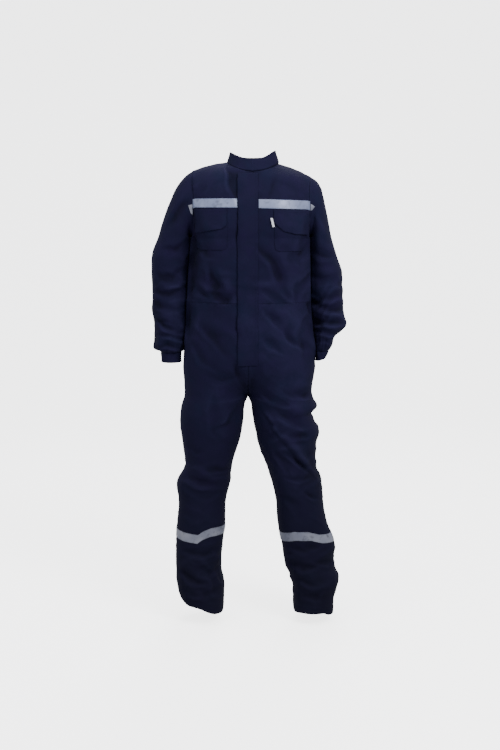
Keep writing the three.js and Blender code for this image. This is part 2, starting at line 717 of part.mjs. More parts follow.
// The outline of a tape round one leg, from the outer side over the middle to the inner side.
function shinOutline({ outX, side, midX, middle, inX, inner }) {
  return [
    [outX, side],
    [midX, middle],
    [inX, inner],
    [inX, inner - SHIN_TAPE],
    [midX, middle - SHIN_TAPE],
    [outX, side - SHIN_TAPE],
  ];
}

function mesh(name, geometry, colour) {
  const material = new THREE.MeshStandardMaterial({ color: colour, roughness: 0.9, metalness: 0 });
  const made = new THREE.Mesh(geometry, material);
  made.name = name;
  return made;
}

// A piece of one or two panels, as a wall that keeps the seam gap to its neighbours' walls.
function sewnWall(halves, neighbours) {
  let solid = null;
  for (const half of halves) {
    const wall = toSolid(wallGeometry(half, 0, -WALL, SEAM_GAP / 2));
    solid = solid ? solid.add(wall) : wall;
  }
  for (const neighbour of neighbours) {
    solid = solid.subtract(toSolid(wallGeometry(neighbour, SEAM_GAP, -WALL - SEAM_GAP, 0)));
  }
  return toGeometry(solid);
}

const suit = new THREE.Group();
const panels = {
  bodice_front_right: panel(bodiceGrid(-1, -1), 1),
  bodice_front_left: panel(bodiceGrid(1, -1), -1),
  back_half_right: panel(bodiceGrid(-1, 1), -1, { whole: true }),
  back_half_left: panel(bodiceGrid(1, 1), 1, { whole: true }),
  trouser_front_right: panel(trouserGrid(RIGHT_HALF, 0, 0.5), 1),
  trouser_front_left: panel(trouserGrid(LEFT_HALF, 0, 0.5), -1),
  trouser_back_right: panel(trouserGrid(RIGHT_HALF, 0.5, 1), 1),
  trouser_back_left: panel(trouserGrid(LEFT_HALF, 0.5, 1), -1),
  sleeve_right: panel(sleeveGrid(-1, RIGHT_SLEEVE), 1, { closed: true }),
  sleeve_left: panel(sleeveGrid(1, LEFT_SLEEVE), -1, { closed: true }),
  cuff_right: panel(RIGHT_CUFF.map((row) => sleeveRing(row, 0)), 1, { closed: true }),
  cuff_left: panel(LEFT_CUFF.map((row) => sleeveRing(row, 0)), -1, { closed: true }),
  collar: panel(collarGrid(), 1),
};
foldPanels(Object.values(panels));
const { back_half_right: backRight, back_half_left: backLeft, ...pieces } = panels;
const bodice = [panels.bodice_front_right, panels.bodice_front_left, backRight, backLeft];
suit.add(mesh("bodice_back", sewnWall([backRight, backLeft], []), NAVY));
for (const [name, one] of Object.entries(pieces)) {
  const neighbours = /sleeve|collar/.test(name) ? bodice : [];
  suit.add(mesh(name, sewnWall([one], neighbours), NAVY));
}

// Layers just over the panels, from which the sewn-on pieces are cut
const layerOver = (one, gap) => wallGeometry(one, gap + LAYER, gap, 0);
const { bodice_front_right: chestRight, bodice_front_left: chestLeft } = panels;
const { trouser_front_right: hipRight, trouser_front_left: hipLeft } = panels;
const wholeBodice = joinFronts(chestRight, chestLeft, NECK_ROWS, CENTRE_ROWS + NECK_ROWS + CHEST_ROWS);
const wholeTrousers = joinFronts(hipRight, hipLeft, 0, HIP_ROWS + FORK_ROWS);
const overBodice = layerOver(wholeBodice, LAYER_GAP);
const overTrousers = layerOver(wholeTrousers, LAYER_GAP);
const overPockets = layerOver(wholeBodice, 2 * LAYER_GAP + LAYER);
const overFlaps = layerOver(wholeBodice, 3 * LAYER_GAP + 2 * LAYER);
const legTube = (side) => joinLeg(panels[`trouser_front_${side}`], panels[`trouser_back_${side}`]);
const overLeg = (side) => layerOver(legTube(side), LAYER_GAP);

suit.add(mesh("placket", sewnOn([overBodice, overTrousers], boxOutline(PLACKET)), NAVY));
suit.add(mesh("chest_tape_right", sewnOn([overBodice], RIGHT_TAPE), TAPE_GREY));
suit.add(mesh("chest_tape_left", sewnOn([overBodice], LEFT_TAPE), TAPE_GREY));
suit.add(mesh("pocket_right", sewnOn([overBodice], boxOutline(RIGHT_POCKET)), NAVY));
suit.add(mesh("pocket_left", sewnOn([overBodice], boxOutline(LEFT_POCKET)), NAVY));
suit.add(mesh("pocket_flap_right", sewnOn([overPockets], RIGHT_FLAP), NAVY));
suit.add(mesh("pocket_flap_left", sewnOn([overPockets], LEFT_FLAP), NAVY));
suit.add(mesh("label", sewnOn([overFlaps], LABEL), LABEL_WHITE));
for (const [side, outline] of [["right", RIGHT_SHIN], ["left", LEFT_SHIN]]) {
  const tape = sewnOn([overLeg(side)], shinOutline(outline), CUT_BEHIND);
  suit.add(mesh(`shin_tape_${side}`, tape, TAPE_GREY));
}

export default suit;
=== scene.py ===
"""A worn, hollow boiler suit in navy twill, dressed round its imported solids.

The suit is cut from the same sizes as the solids, on a finer grid. All panels are first joined at
their seams, folded as one cloth, and then parted again into pieces with thickness, seams and
stitching. Sizes in tables are millimetres, and meshes are metres. The front faces -Y, and "right"
and "left" are the wearer's, so right lies at -X.
"""

import logging
import math
from dataclasses import dataclass, fields
from enum import Enum
from typing import Sequence

import bpy
import numpy as np
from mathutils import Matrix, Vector
from mathutils.bvhtree import BVHTree


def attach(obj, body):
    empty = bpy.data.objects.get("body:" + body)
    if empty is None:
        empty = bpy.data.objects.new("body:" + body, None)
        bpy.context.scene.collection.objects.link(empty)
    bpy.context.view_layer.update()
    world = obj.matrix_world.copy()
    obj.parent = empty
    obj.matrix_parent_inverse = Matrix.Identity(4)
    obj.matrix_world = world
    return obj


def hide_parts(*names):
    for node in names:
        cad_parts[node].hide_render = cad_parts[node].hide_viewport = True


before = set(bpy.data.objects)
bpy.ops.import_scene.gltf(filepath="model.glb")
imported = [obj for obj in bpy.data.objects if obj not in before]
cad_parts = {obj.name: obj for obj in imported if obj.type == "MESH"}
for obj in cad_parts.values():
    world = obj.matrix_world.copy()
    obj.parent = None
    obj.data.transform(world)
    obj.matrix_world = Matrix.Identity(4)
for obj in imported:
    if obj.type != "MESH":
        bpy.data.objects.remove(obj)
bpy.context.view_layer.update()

log = logging.getLogger("boiler_suit")
Array = np.ndarray
Points = Sequence[tuple[float, float]]
Colour = tuple[float, float, float]
Inputs = dict[str, float | tuple[float, ...]]

MM = 0.001
SEED = 4


class Side(Enum):
    """The wearer's side, with the sign of its X."""

    RIGHT = -1
    LEFT = 1

    @property
    def word(self) -> str:
        """The side in the names of pieces."""
        return self.name.lower()


class Face(Enum):
    """Front or back of the suit, with the sign of its Y."""

    FRONT = -1
    BACK = 1


class Part(Enum):
    """The stretch of cloth that a point belongs to."""

    BODICE = 0
    TROUSERS = 1
    SLEEVE_RIGHT = 2
    SLEEVE_LEFT = 3
    COLLAR = 4
    CUFF = 5


F, B = Face.FRONT, Face.BACK
BODICE, TROUSERS = Part.BODICE, Part.TROUSERS
ARM_RIGHT, ARM_LEFT = Part.SLEEVE_RIGHT, Part.SLEEVE_LEFT


@dataclass(frozen=True)
class LegSection:
    """A section of one half of the trousers: outer and inner side, depths and lift of the outer side."""

    z: float
    out: float
    inn: float
    front: float
    back: float
    lift: float = 0.0


@dataclass(frozen=True)
class ChestSection:
    """A section of the bodice between the waist seam and the armpits."""

    z: float
    right: float
    left: float
    middle: float
    front: float
    back: float


@dataclass(frozen=True)
class SleeveSection:
    """A section of a sleeve: its outer and inner point, its middle from front to back, half its depth."""

    out_x: float
    out_z: float
    inn_x: float
    inn_z: float
    y: float
    half: float


@dataclass(frozen=True)
class Fold:
    """A soft trough (depth above 0) or ridge (below 0) along a path of outline points."""

    path: Points
    face: Face
    part: Part
    depth: float
    width: float
    ridge: float = 0.45


@dataclass(frozen=True)
class Stack:
    """A run of crossing folds, as cloth heaps up: where, how deep, how long the waves are."""

    part: Part
    x: tuple[float, float]
    z: tuple[float, float]
    depth: float
    wave: float
    slant: float
    fade: float = 45.0


ARMPIT_Z, WAIST_Z, RISE_Z, FORK_Z, THIGH_Z, HEM_Z = -226.0, -425.0, -590.0, -735.0, -850.0, -1436.0
MIDDLE_WAIST_X, MIDDLE_FORK_X = -8.0, -13.0
TRUNK_ROUND, LEG_ROUND, SHOULDER_ROUND, SLEEVE_ROUND = 2.5, 2.15, 1.25, 2.1
SEAM_CLING = 6


def rows_of(kind: type, *rows: tuple[float, ...]) -> list:
    """A table of dataclass rows."""
    return [kind(*row) for row in rows]


RIGHT_HALF = rows_of(
    LegSection,
    (-425, -203, -8, 124, 116),
    (-503, -208, -9, 126, 122),
    (-583, -214, -11, 126, 132),
    (-640, -217, -12, 123, 136),
    (-710, -213, -12.5, 116, 126),
    (-735, -215, -13, 113, 118),
    (-765, -224, -26, 109, 110),
    (-815, -229, -30, 102, 100),
    (-876, -222, -41, 95, 91),
    (-930, -214, -58, 89, 82),
    (-962, -214, -65, 87, 78),
    (-1010, -240, -69, 84, 84),
    (-1075, -236, -84, 78, 84),
    (-1142, -243, -87, 75, 87),
    (-1210, -247, -95, 74, 87),
    (-1295, -248, -103, 74, 86, 2),
    (-1346, -247, -92, 80, 88, 10),
    (-1400, -243, -92, 80, 88, 24),
    (-1436, -234, -96, 78, 86, 34),
)
LEFT_HALF = rows_of(
    LegSection,
    (-425, 182, -8, 124, 116),
    (-503, 188, -9, 126, 122),
    (-583, 198, -11, 126, 132),
    (-640, 201, -12, 123, 136),
    (-710, 193, -12.5, 116, 126),
    (-735, 198, -13, 113, 118),
    (-762, 212, 0, 111, 110),
    (-786, 193, 2, 109, 105),
    (-843, 219, 14, 104, 97),
    (-880, 211, 21, 100, 92),
    (-955, 211, 46, 93, 80),
    (-1010, 228, 63, 88, 84),
    (-1075, 233, 77, 80, 86),
    (-1142, 245, 84, 75, 89),
    (-1220, 270, 100, 74, 89),
    (-1285, 267, 110, 75, 88),
    (-1338, 286, 128, 82, 86),
    (-1390, 273, 135, 80, 86),
    (-1436, 270, 138, 80, 88),
)
CHEST = rows_of(
    ChestSection,
    (-425, -203, 182, -8, 124, 116),
    (-380, -200, 180, -8, 127, 113),
    (-330, -197, 180, -8, 130, 114),
    (-270, -193, 179, -8, 130, 118),
    (-226, -189, 179, -8, 127, 120),
)
RIGHT_SLEEVE = rows_of(
    SleeveSection,
    (-211, -41, -193, -229, 7, 66),
    (-236, -72, -194, -235, 6, 69),
    (-255, -115, -195, -243, 5, 71),
    (-274, -168, -197, -260, 5, 71),
    (-293, -225, -200, -288, 5, 70),
    (-311, -272, -202, -318, 5, 69),
    (-316, -322, -204, -350, 5, 67),
    (-316, -372, -206, -388, 4, 66),
    (-317, -420, -209, -426, 2, 64),
    (-320, -456, -211, -460, 0, 64),
    (-314, -490, -213, -493, -2, 61),
    (-312, -522, -215, -524, -4, 61),
    (-313, -552, -217, -553, -5, 60),
    (-312, -577, -219, -577, -6, 54),
    (-291, -587, -225, -587, -7, 40),
)
LEFT_SLEEVE = rows_of(
    SleeveSection,
    (203, -54, 183, -231, 9, 65),
    (217, -80, 184, -237, 10, 68),
    (227, -120, 184, -247, 11, 70),
    (238, -170, 184, -264, 12, 71),
    (249, -228, 185, -292, 13, 70),
    (267, -282, 186, -324, 14, 69),
    (284, -328, 187, -358, 14, 67),
    (287, -380, 188, -397, 12, 66),
    (288, -428, 190, -434, 9, 65),
    (291, -468, 192, -468, 6, 64),
    (298, -499, 195, -496, 3, 62),
    (281, -520, 199, -518, 0, 58),
    (262, -540, 203, -540, -3, 54),
    (259, -564, 207, -562, -5, 50),
    (250, -583, 210, -582, -7, 40),
)
RIGHT_CUFF = [
    RIGHT_SLEEVE[-1],
    SleeveSection(-289, -604, -226, -604, -8, 38),
    SleeveSection(-287, -620, -226, -620, -9, 37),
]
LEFT_CUFF = [
    LEFT_SLEEVE[-1],
    SleeveSection(245, -596, 208, -599, -9, 39),
    SleeveSection(238, -606, 207, -615, -11, 38),
]


@dataclass(frozen=True)
class NeckSizes:
    """The neckline, and the upper edge of the collar that stands on it."""

    x: float = 3
    y: float = 5
    half_width: float = 82
    front: float = 84
    back: float = 66
    front_z: float = -24
    side_z: float = 2
    back_z: float = 6
    top_half_width: float = 70
    top_front: float = 70
    top_back: float = 58
    top_front_z: float = 14
    top_side_z: float = 37
    top_back_z: float = 31


@dataclass(frozen=True)
class ShoulderSizes:
    """The shoulder points and the shape of the armholes and of the cloth between them."""

    right: tuple[float, float, float] = (-186, 8, -24)
    left: tuple[float, float, float] = (184, 8, -40)
    lift: float = 4
    armhole_depth: float = 64
    armhole_inset: float = 7
    chest_fullness: float = 14
    back_fullness: float = 16


NECK = NeckSizes()
SHOULDER = ShoulderSizes()


@dataclass(frozen=True)
class Density:
    """How many rows and columns each stretch of cloth is divided into."""

    quarter: int = 60
    neck: int = 24
    centre: int = 36
    chest: int = 40
    hip: int = 32
    fork: int = 26
    leg: int = 150
    sleeve: int = 9
    collar: int = 14
    cuff: int = 5


DENSITY = Density()


def smooth(t: Array) -> Array:
    """A soft step from 0 to 1."""
    t = np.clip(t, 0, 1)
    return t * t * (3 - 2 * t)


def rounded(t: Array, power: Array | float) -> Array:
    """A power that keeps the sign."""
    return np.sign(t) * np.abs(t) ** power


def mix(a: Array | float, b: Array | float, t: Array | float) -> Array | float:
    """A value between a and b."""
    return a + (b - a) * t


def unit(v: Array) -> Array:
    """Vectors of length 1."""
    return v / np.maximum(np.linalg.norm(v, axis=-1, keepdims=True), 1e-12)


def read_table(rows: Sequence, key: str, at: Array) -> dict[str, Array]:
    """Smooth curves through the columns of a table.

    Args:
        rows: dataclass rows, in order along the key column.
        key: the column that places are given in.
        at: places along the key column.

    Returns:
        Each column's value at each place.
    """
    names = [f.name for f in fields(rows[0])]
    columns = {n: np.array([getattr(r, n) for r in rows], float) for n in names}
    keys = columns[key]
    turn = 1 if keys[-1] > keys[0] else -1
    k = np.clip(np.searchsorted(keys * turn, np.asarray(at) * turn, side="right") - 1, 0, len(keys) - 2)
    span = keys[k + 1] - keys[k]
    t = np.clip((at - keys[k]) / span, 0, 1)
    before = np.maximum(np.arange(len(keys)) - 1, 0)
    after = np.minimum(np.arange(len(keys)) + 1, len(keys) - 1)
    values = {}
    for name, column in columns.items():
        slope = (column[after] - column[before]) / (keys[after] - keys[before])
        a, b = column[k], column[k + 1]
        rise = (t**3 - 2 * t**2 + t) * slope[k]
        fall = (t**3 - t**2) * slope[k + 1]
        values[name] = a + (b - a) * (3 - 2 * t) * t**2 + span * (rise + fall)
    return values


class Noise:
    """Smooth repeatable noise in three directions, from about -1 to 1."""

    SIZE = 32

    def __init__(self, seed: int) -> None:
        """Fills the lattice."""
        self.lattice = np.random.default_rng(seed).uniform(-1, 1, (self.SIZE,) * 3)

    def at(self, points: Array, wave: float) -> Array:
        """Noise at points.

        Args:
            points: places, in millimetres.
            wave: how far apart the lattice points are, in millimetres.

        Returns:
            One value for each point.
        """
        q = points / wave
        base = np.floor(q).astype(int)
        f = q - base
        f = f * f * f * (f * (f * 6 - 15) + 10)
        total = np.zeros(q.shape[:-1])
        for corner in range(8):
            step = np.array([corner & 1, corner >> 1 & 1, corner >> 2 & 1])
            i = (base + step) % self.SIZE
            weight = np.prod(np.where(step, f, 1 - f), axis=-1)
            total += weight * self.lattice[i[..., 0], i[..., 1], i[..., 2]]
        return total * 1.6


NOISE = Noise(SEED)


@dataclass
class Panel:
    """A cut piece of cloth as a grid of points, before it gets its thickness.

    turn is 1 where columns cross rows outwards, else -1. closed is true for a tube.
    """

    name: str
    points: Array
    turn: int
    part: Part
    closed: bool = False


class Pattern:
    """Draws the suit's panels from its sizes, in millimetres."""

    CENTRE_SHARE = 0.6
    GATHER = 3.0
    GATHERED_RINGS = 4
    GATHERS, FINE_GATHERS, FINE_SHARE = 6, 17, 0.4

    def armhole_share(self, k: Array) -> Array:
        """How far up the armhole row k lies, counted from the armpit."""
        share, centre = self.CENTRE_SHARE, DENSITY.centre
        return np.where(k > centre, share + (1 - share) * (k - centre) / DENSITY.neck, share * k / centre)

    def armhole(self, side: Side, face: Face, t: Array) -> Array:
        """The edge of the armhole: t runs from the armpit, at 0, to the shoulder point, at 1."""
        shoulder = SHOULDER.right if side is Side.RIGHT else SHOULDER.left
        armpit_x = CHEST[-1].right if side is Side.RIGHT else CHEST[-1].left
        bend = np.sin(np.pi * t)
        x = mix(armpit_x, shoulder[0], t) - side.value * SHOULDER.armhole_inset * bend
        y = shoulder[1] * t + face.value * SHOULDER.armhole_depth * rounded(bend, 2 / SLEEVE_ROUND)
        z = mix(ARMPIT_Z, shoulder[2], (1 - np.cos(np.pi * t)) / 2)
        return np.stack([x, y, z], -1)

    def neckline(self, side: Side, face: Face, t: Array, top: bool = False) -> Array:
        """The neckline, or the collar's upper edge: t runs from the middle, at 0, to the shoulder, at 1."""
        turn = np.pi / 2 * t
        front = face is Face.FRONT
        if top:
            half, side_z = NECK.top_half_width, NECK.top_side_z
            depth, end_z = (
                (NECK.top_front, NECK.top_front_z) if front else (NECK.top_back, NECK.top_back_z)
            )
        else:
            half, side_z = NECK.half_width, NECK.side_z
            depth, end_z = (NECK.front, NECK.front_z) if front else (NECK.back, NECK.back_z)
        x = NECK.x + side.value * half * np.sin(turn)
        y = NECK.y + face.value * depth * np.cos(turn)
        return np.stack([x, y, mix(end_z, side_z, np.sin(turn) ** 2)], -1)

    def bodice(self, side: Side, face: Face) -> Array:
        """A quarter of the bodice as rows from the shoulder seam down to the waist seam."""
        turn = (np.pi / 2) * np.linspace(0, 1, DENSITY.quarter + 1)
        above = DENSITY.centre + DENSITY.neck
        k = np.arange(above, 0, -1, dtype=float)
        t = self.armhole_share(k)
        armpit = read_table(CHEST, "z", np.array([ARMPIT_Z]))
        armpit_depth = face.value * float(armpit["front" if face is Face.FRONT else "back"][0])
        middle = float(armpit["middle"][0])
        start = self.neckline(side, face, np.zeros(1))[0]
        up = np.clip(k / DENSITY.centre, 0, 1)
        swing = 1 - np.cos(np.pi / 2 * up)
        centre = np.stack(
            [
                mix(middle, start[0], up),
                mix(armpit_depth, start[1], swing),
                mix(ARMPIT_Z, start[2], up),
            ],
            -1,
        )
        on_neck = (k - DENSITY.centre) / DENSITY.neck
        neck = self.neckline(side, face, np.clip(on_neck, 0, 1))
        inner = np.where((on_neck > 0)[:, None], neck, centre)[:, None]
        outer = self.armhole(side, face, t)[:, None]
        power = (2 / mix(TRUNK_ROUND, SHOULDER_ROUND, smooth(t)))[:, None]
        out = rounded(np.sin(turn)[None], power)
        near = rounded(np.cos(turn)[None], power)
        fullness = SHOULDER.chest_fullness if face is Face.FRONT else SHOULDER.back_fullness
        swell = face.value * fullness * np.sin(np.pi * t)[:, None] * np.sin(np.pi * out) ** 2
        lift = SHOULDER.lift * (t**2)[:, None] * np.sin(np.pi * out)
        x = mix(inner[..., 0], outer[..., 0], out)
        y = outer[..., 1] + (inner[..., 1] - outer[..., 1]) * near + swell
        z = mix(inner[..., 2], outer[..., 2], out) + lift
        upper = np.stack([x, y, z], -1)
        row = read_table(CHEST, "z", np.linspace(ARMPIT_Z, WAIST_Z, DENSITY.chest + 1))
        side_x = row["right" if side is Side.RIGHT else "left"][:, None]
        depth = face.value * row["front" if face is Face.FRONT else "back"][:, None]
        x = mix(row["middle"][:, None], side_x, rounded(np.sin(turn)[None], 2 / TRUNK_ROUND))
        y = depth * rounded(np.cos(turn)[None], 2 / TRUNK_ROUND)
        z = np.broadcast_to(row["z"][:, None], x.shape)
        return np.concatenate([upper, np.stack([x, y, z], -1)])

    def trouser_levels(self) -> Array:
        """Heights of the trouser rows, close together round the fork."""
        hip = np.linspace(WAIST_Z, RISE_Z, DENSITY.hip, endpoint=False)
        steps = np.linspace(0, 1, DENSITY.fork, endpoint=False)
        fork = mix(RISE_Z, FORK_Z, np.sin(np.pi / 2 * steps))
        return np.concatenate([hip, fork, np.linspace(FORK_Z, HEM_Z, DENSITY.leg + 1)])

    def trousers(self, side: Side, face: Face) -> Array:
        """The front or back of one half of the trousers, rows from the waist to the hem."""
        z = self.trouser_levels()
        own, other = (RIGHT_HALF, LEFT_HALF) if side is Side.RIGHT else (LEFT_HALF, RIGHT_HALF)
        row, mate = read_table(own, "z", z), read_table(other, "z", z)
        above = z >= FORK_Z
        inn = np.where(
            above, mix(MIDDLE_WAIST_X, MIDDLE_FORK_X, (z - WAIST_Z) / (FORK_Z - WAIST_Z)), row["inn"]
        )
        column = "front" if face is Face.FRONT else "back"
        depth = np.where(above, (row[column] + mate[column]) / 2, row[column])[:, None]
        into = np.clip((RISE_Z - z) / (RISE_Z - FORK_Z), 0, 1)
        at_seam = (1 - np.sqrt(1 - into * into))[:, None]
        at_side = smooth((RISE_Z - z) / (RISE_Z - THIGH_Z))[:, None]
        half_turn = np.linspace(0, 0.5, DENSITY.quarter + 1)
        u = half_turn if face is Face.FRONT else half_turn + 0.5
        trunk, leg = np.pi * u[None], 2 * np.pi * u[None]
        loop = mix(at_side, at_seam, np.cos(trunk) ** SEAM_CLING)
        middle, half = ((row["out"] + inn) / 2)[:, None], ((row["out"] - inn) / 2)[:, None]
        x = mix(
            inn[:, None] + 2 * half * rounded(np.sin(trunk), 2 / TRUNK_ROUND),
            middle - half * rounded(np.cos(leg), 2 / LEG_ROUND),
            loop,
        )
        y = mix(
            -depth * rounded(np.cos(trunk), 2 / TRUNK_ROUND),
            -depth * rounded(np.sin(leg), 2 / LEG_ROUND),
            loop,
        )
        outward = np.maximum(0, (x - middle) / half)
        return np.stack([x, y, z[:, None] + row["lift"][:, None] * outward**2], -1)

    def sleeve_ring(self, row: SleeveSection, gather: float) -> Array:
        """A sleeve or cuff section from its inner point over the front, the outer point and the back."""
        count = 2 * (DENSITY.centre + DENSITY.neck)
        k = np.arange(count) / count * 2
        turn = np.pi * k
        waves = np.cos(self.GATHERS * turn) + self.FINE_SHARE * np.cos(self.FINE_GATHERS * turn + 1)
        wave = 1 + gather * waves / row.half
        out = (1 - wave * rounded(np.cos(turn), 2 / SLEEVE_ROUND)) / 2
        return np.stack(
            [
                mix(row.inn_x, row.out_x, out),
                row.y - wave * row.half * rounded(np.sin(turn), 2 / SLEEVE_ROUND),
                mix(row.inn_z, row.out_z, out),
            ],
            -1,
        )

    def sleeve(self, side: Side) -> Array:
        """A sleeve as rings from the armhole to the cuff."""
        table = RIGHT_SLEEVE if side is Side.RIGHT else LEFT_SLEEVE
        share = self.armhole_share(np.arange(DENSITY.centre + DENSITY.neck))
        front = self.armhole(side, Face.FRONT, share)
        back = self.armhole(side, Face.BACK, np.append(share, 1.0)[:0:-1])
        rings = [np.concatenate([front, back])]
        last = len(table) - 1
        for j, row in enumerate(table):
            near_cuff = self.GATHERED_RINGS - (last - j)
            gathered = np.clip(near_cuff / (self.GATHERED_RINGS - 1), 0, 1) if j < last else 0
            rings.append(self.sleeve_ring(row, self.GATHER * float(gathered)))
        return through_rings(np.array(rings), DENSITY.sleeve)

    def cuff(self, side: Side) -> Array:
        """A cuff as rings from the sleeve to its edge."""
        table = RIGHT_CUFF if side is Side.RIGHT else LEFT_CUFF
        rings = np.array([self.sleeve_ring(row, 0) for row in table])
        return through_rings(rings, DENSITY.cuff)

    def collar(self) -> Array:
        """The stand collar from its upper edge down to the neckline, right end round to left end."""
        t = np.linspace(0, 1, DENSITY.neck + 1)
        base, edge = (
            np.concatenate(
                [
                    self.neckline(Side.RIGHT, Face.FRONT, t, top)[:-1],
                    self.neckline(Side.RIGHT, Face.BACK, t[::-1], top)[:-1],
                    self.neckline(Side.LEFT, Face.BACK, t, top)[:-1],
                    self.neckline(Side.LEFT, Face.FRONT, t[::-1], top),
                ]
            )
            for top in (False, True)
        )
        up = np.linspace(1, 0, DENSITY.collar + 1)[:, None, None]
        return mix(base[None], edge[None], up)

    def panels(self) -> list[Panel]:
        """All panels of the suit."""
        made = []
        for name, face, back in (("bodice_front", Face.FRONT, 1), ("back_half", Face.BACK, -1)):
            for side in Side:
                turn = -side.value * back
                made.append(Panel(f"{name}_{side.word}", self.bodice(side, face), turn, BODICE))
        for face in Face:
            for side in Side:
                name = f"trouser_{face.name.lower()}_{side.word}"
                made.append(Panel(name, self.trousers(side, face), -side.value, TROUSERS))
        for side, part in zip(Side, (ARM_RIGHT, ARM_LEFT)):
            made.append(Panel(f"sleeve_{side.word}", self.sleeve(side), -side.value, part, closed=True))
        for side in Side:
            made.append(Panel(f"cuff_{side.word}", self.cuff(side), -side.value, Part.CUFF, closed=True))
        return made + [Panel("collar", self.collar(), 1, Part.COLLAR)]


def through_rings(rings: Array, per: int) -> Array:
    """Rows on smooth lines through rings of points.

    Args:
        rings: K rings of C points.
        per: rows for each stretch between two rings.

    Returns:
        (K - 1) * per + 1 rows of C points.
    """
    count = len(rings)
    rows = []
    for k in range(count - 1):
        a, b = rings[k], rings[k + 1]
        slope_a = (b - rings[max(0, k - 1)]) / (1 if k == 0 else 2)
        slope_b = (rings[min(count - 1, k + 2)] - a) / (1 if k == count - 2 else 2)
        for t in np.arange(per) / per:
            rise = (t**3 - 2 * t**2 + t) * slope_a
            fall = (t**3 - t**2) * slope_b
            rows.append(a + (b - a) * (3 - 2 * t) * t**2 + rise + fall)
    rows.append(rings[-1])
    return np.array(rows)


def grid_quads(rows: int, columns: int, turn: int, closed: bool) -> Array:
    """Corner numbers of a grid's cells, in outward order.

    Args:
        rows: rows of points.
        columns: points in a row.
        turn: 1 where columns cross rows outwards, else -1.
        closed: whether the last column meets the first again.

    Returns:
        Four point numbers for each cell.
    """
    number = np.arange(rows * columns).reshape(rows, columns)
    if closed:
        number = np.concatenate([number, number[:, :1]], 1)
    a, b = number[:-1, :-1], number[:-1, 1:]
    c, d = number[1:, 1:], number[1:, :-1]
    quads = np.stack([a, b, c, d] if turn > 0 else [a, d, c, b], -1)
    return quads.reshape(-1, 4)


class Cloth:
    """All panels joined at their seams, so that folds run on across them."""

    JOIN = 0.02
    JOIN_SHIFT = 0.00731

    def __init__(self, panels: list[Panel]) -> None:
        """Joins the panels.

        Args:
            panels: the suit's panels. Points that lie together become one.
        """
        self.panels = {p.name: p for p in panels}
        flat = np.concatenate([p.points.reshape(-1, 3) for p in panels])
        key = np.floor((flat + self.JOIN_SHIFT) / self.JOIN + 0.5).astype(np.int64)
        _, first, joined = np.unique(key, axis=0, return_index=True, return_inverse=True)
        joined = joined.reshape(-1)
        self.points = flat[first]
        self.part = np.concatenate(
            [np.full(p.points.shape[0] * p.points.shape[1], p.part.value) for p in panels]
        )[first]
        self.index: dict[str, Array] = {}
        quads, start = [], 0
        for p in panels:
            rows, columns = p.points.shape[:2]
            own = joined[start : start + rows * columns]
            self.index[p.name] = own.reshape(rows, columns)
            quads.append(own[grid_quads(rows, columns, p.turn, p.closed)])
            start += rows * columns
        self.quads = np.concatenate(quads)
        self.relief = np.zeros(len(self.points))

    def normals(self) -> Array:
        """Outward normals of the joined points."""
        return normals_of(self.points, self.quads)

    def press(self, depth: Array) -> None:
        """Moves the cloth inwards by a depth at each point, in millimetres."""
        self.points = self.points - self.normals() * depth[:, None]
        self.relief = self.relief - depth

    def soften(self, weight: Array, rounds: int) -> None:
        """Evens the points out along the cloth where weight is above 0."""
        edges = np.concatenate([self.quads[:, [0, 1]], self.quads[:, [1, 2]]])
        edges = np.concatenate([edges, self.quads[:, [2, 3]], self.quads[:, [3, 0]]])
        count = np.bincount(edges[:, 0], minlength=len(self.points))[:, None]
        for _ in range(rounds):
            total = np.zeros_like(self.points)
            np.add.at(total, edges[:, 0], self.points[edges[:, 1]])
            mean = total / np.maximum(count, 1)
            self.points = mix(self.points, mean, weight[:, None])


def normals_of(points: Array, quads: Array) -> Array:
    """Normals of points, each the sum of the cells that meet there."""
    cross = np.cross(points[quads[:, 2]] - points[quads[:, 0]], points[quads[:, 3]] - points[quads[:, 1]])
    total = np.zeros_like(points)
    for corner in range(4):
        np.add.at(total, quads[:, corner], cross)
    return unit(total)


def folds(face: Face, part: Part, *rows: tuple) -> list[Fold]:
    """Folds on one side of a part: a path, the depth, the width and, where given, the ridge."""
    return [Fold(path, face, part, *rest) for path, *rest in rows]


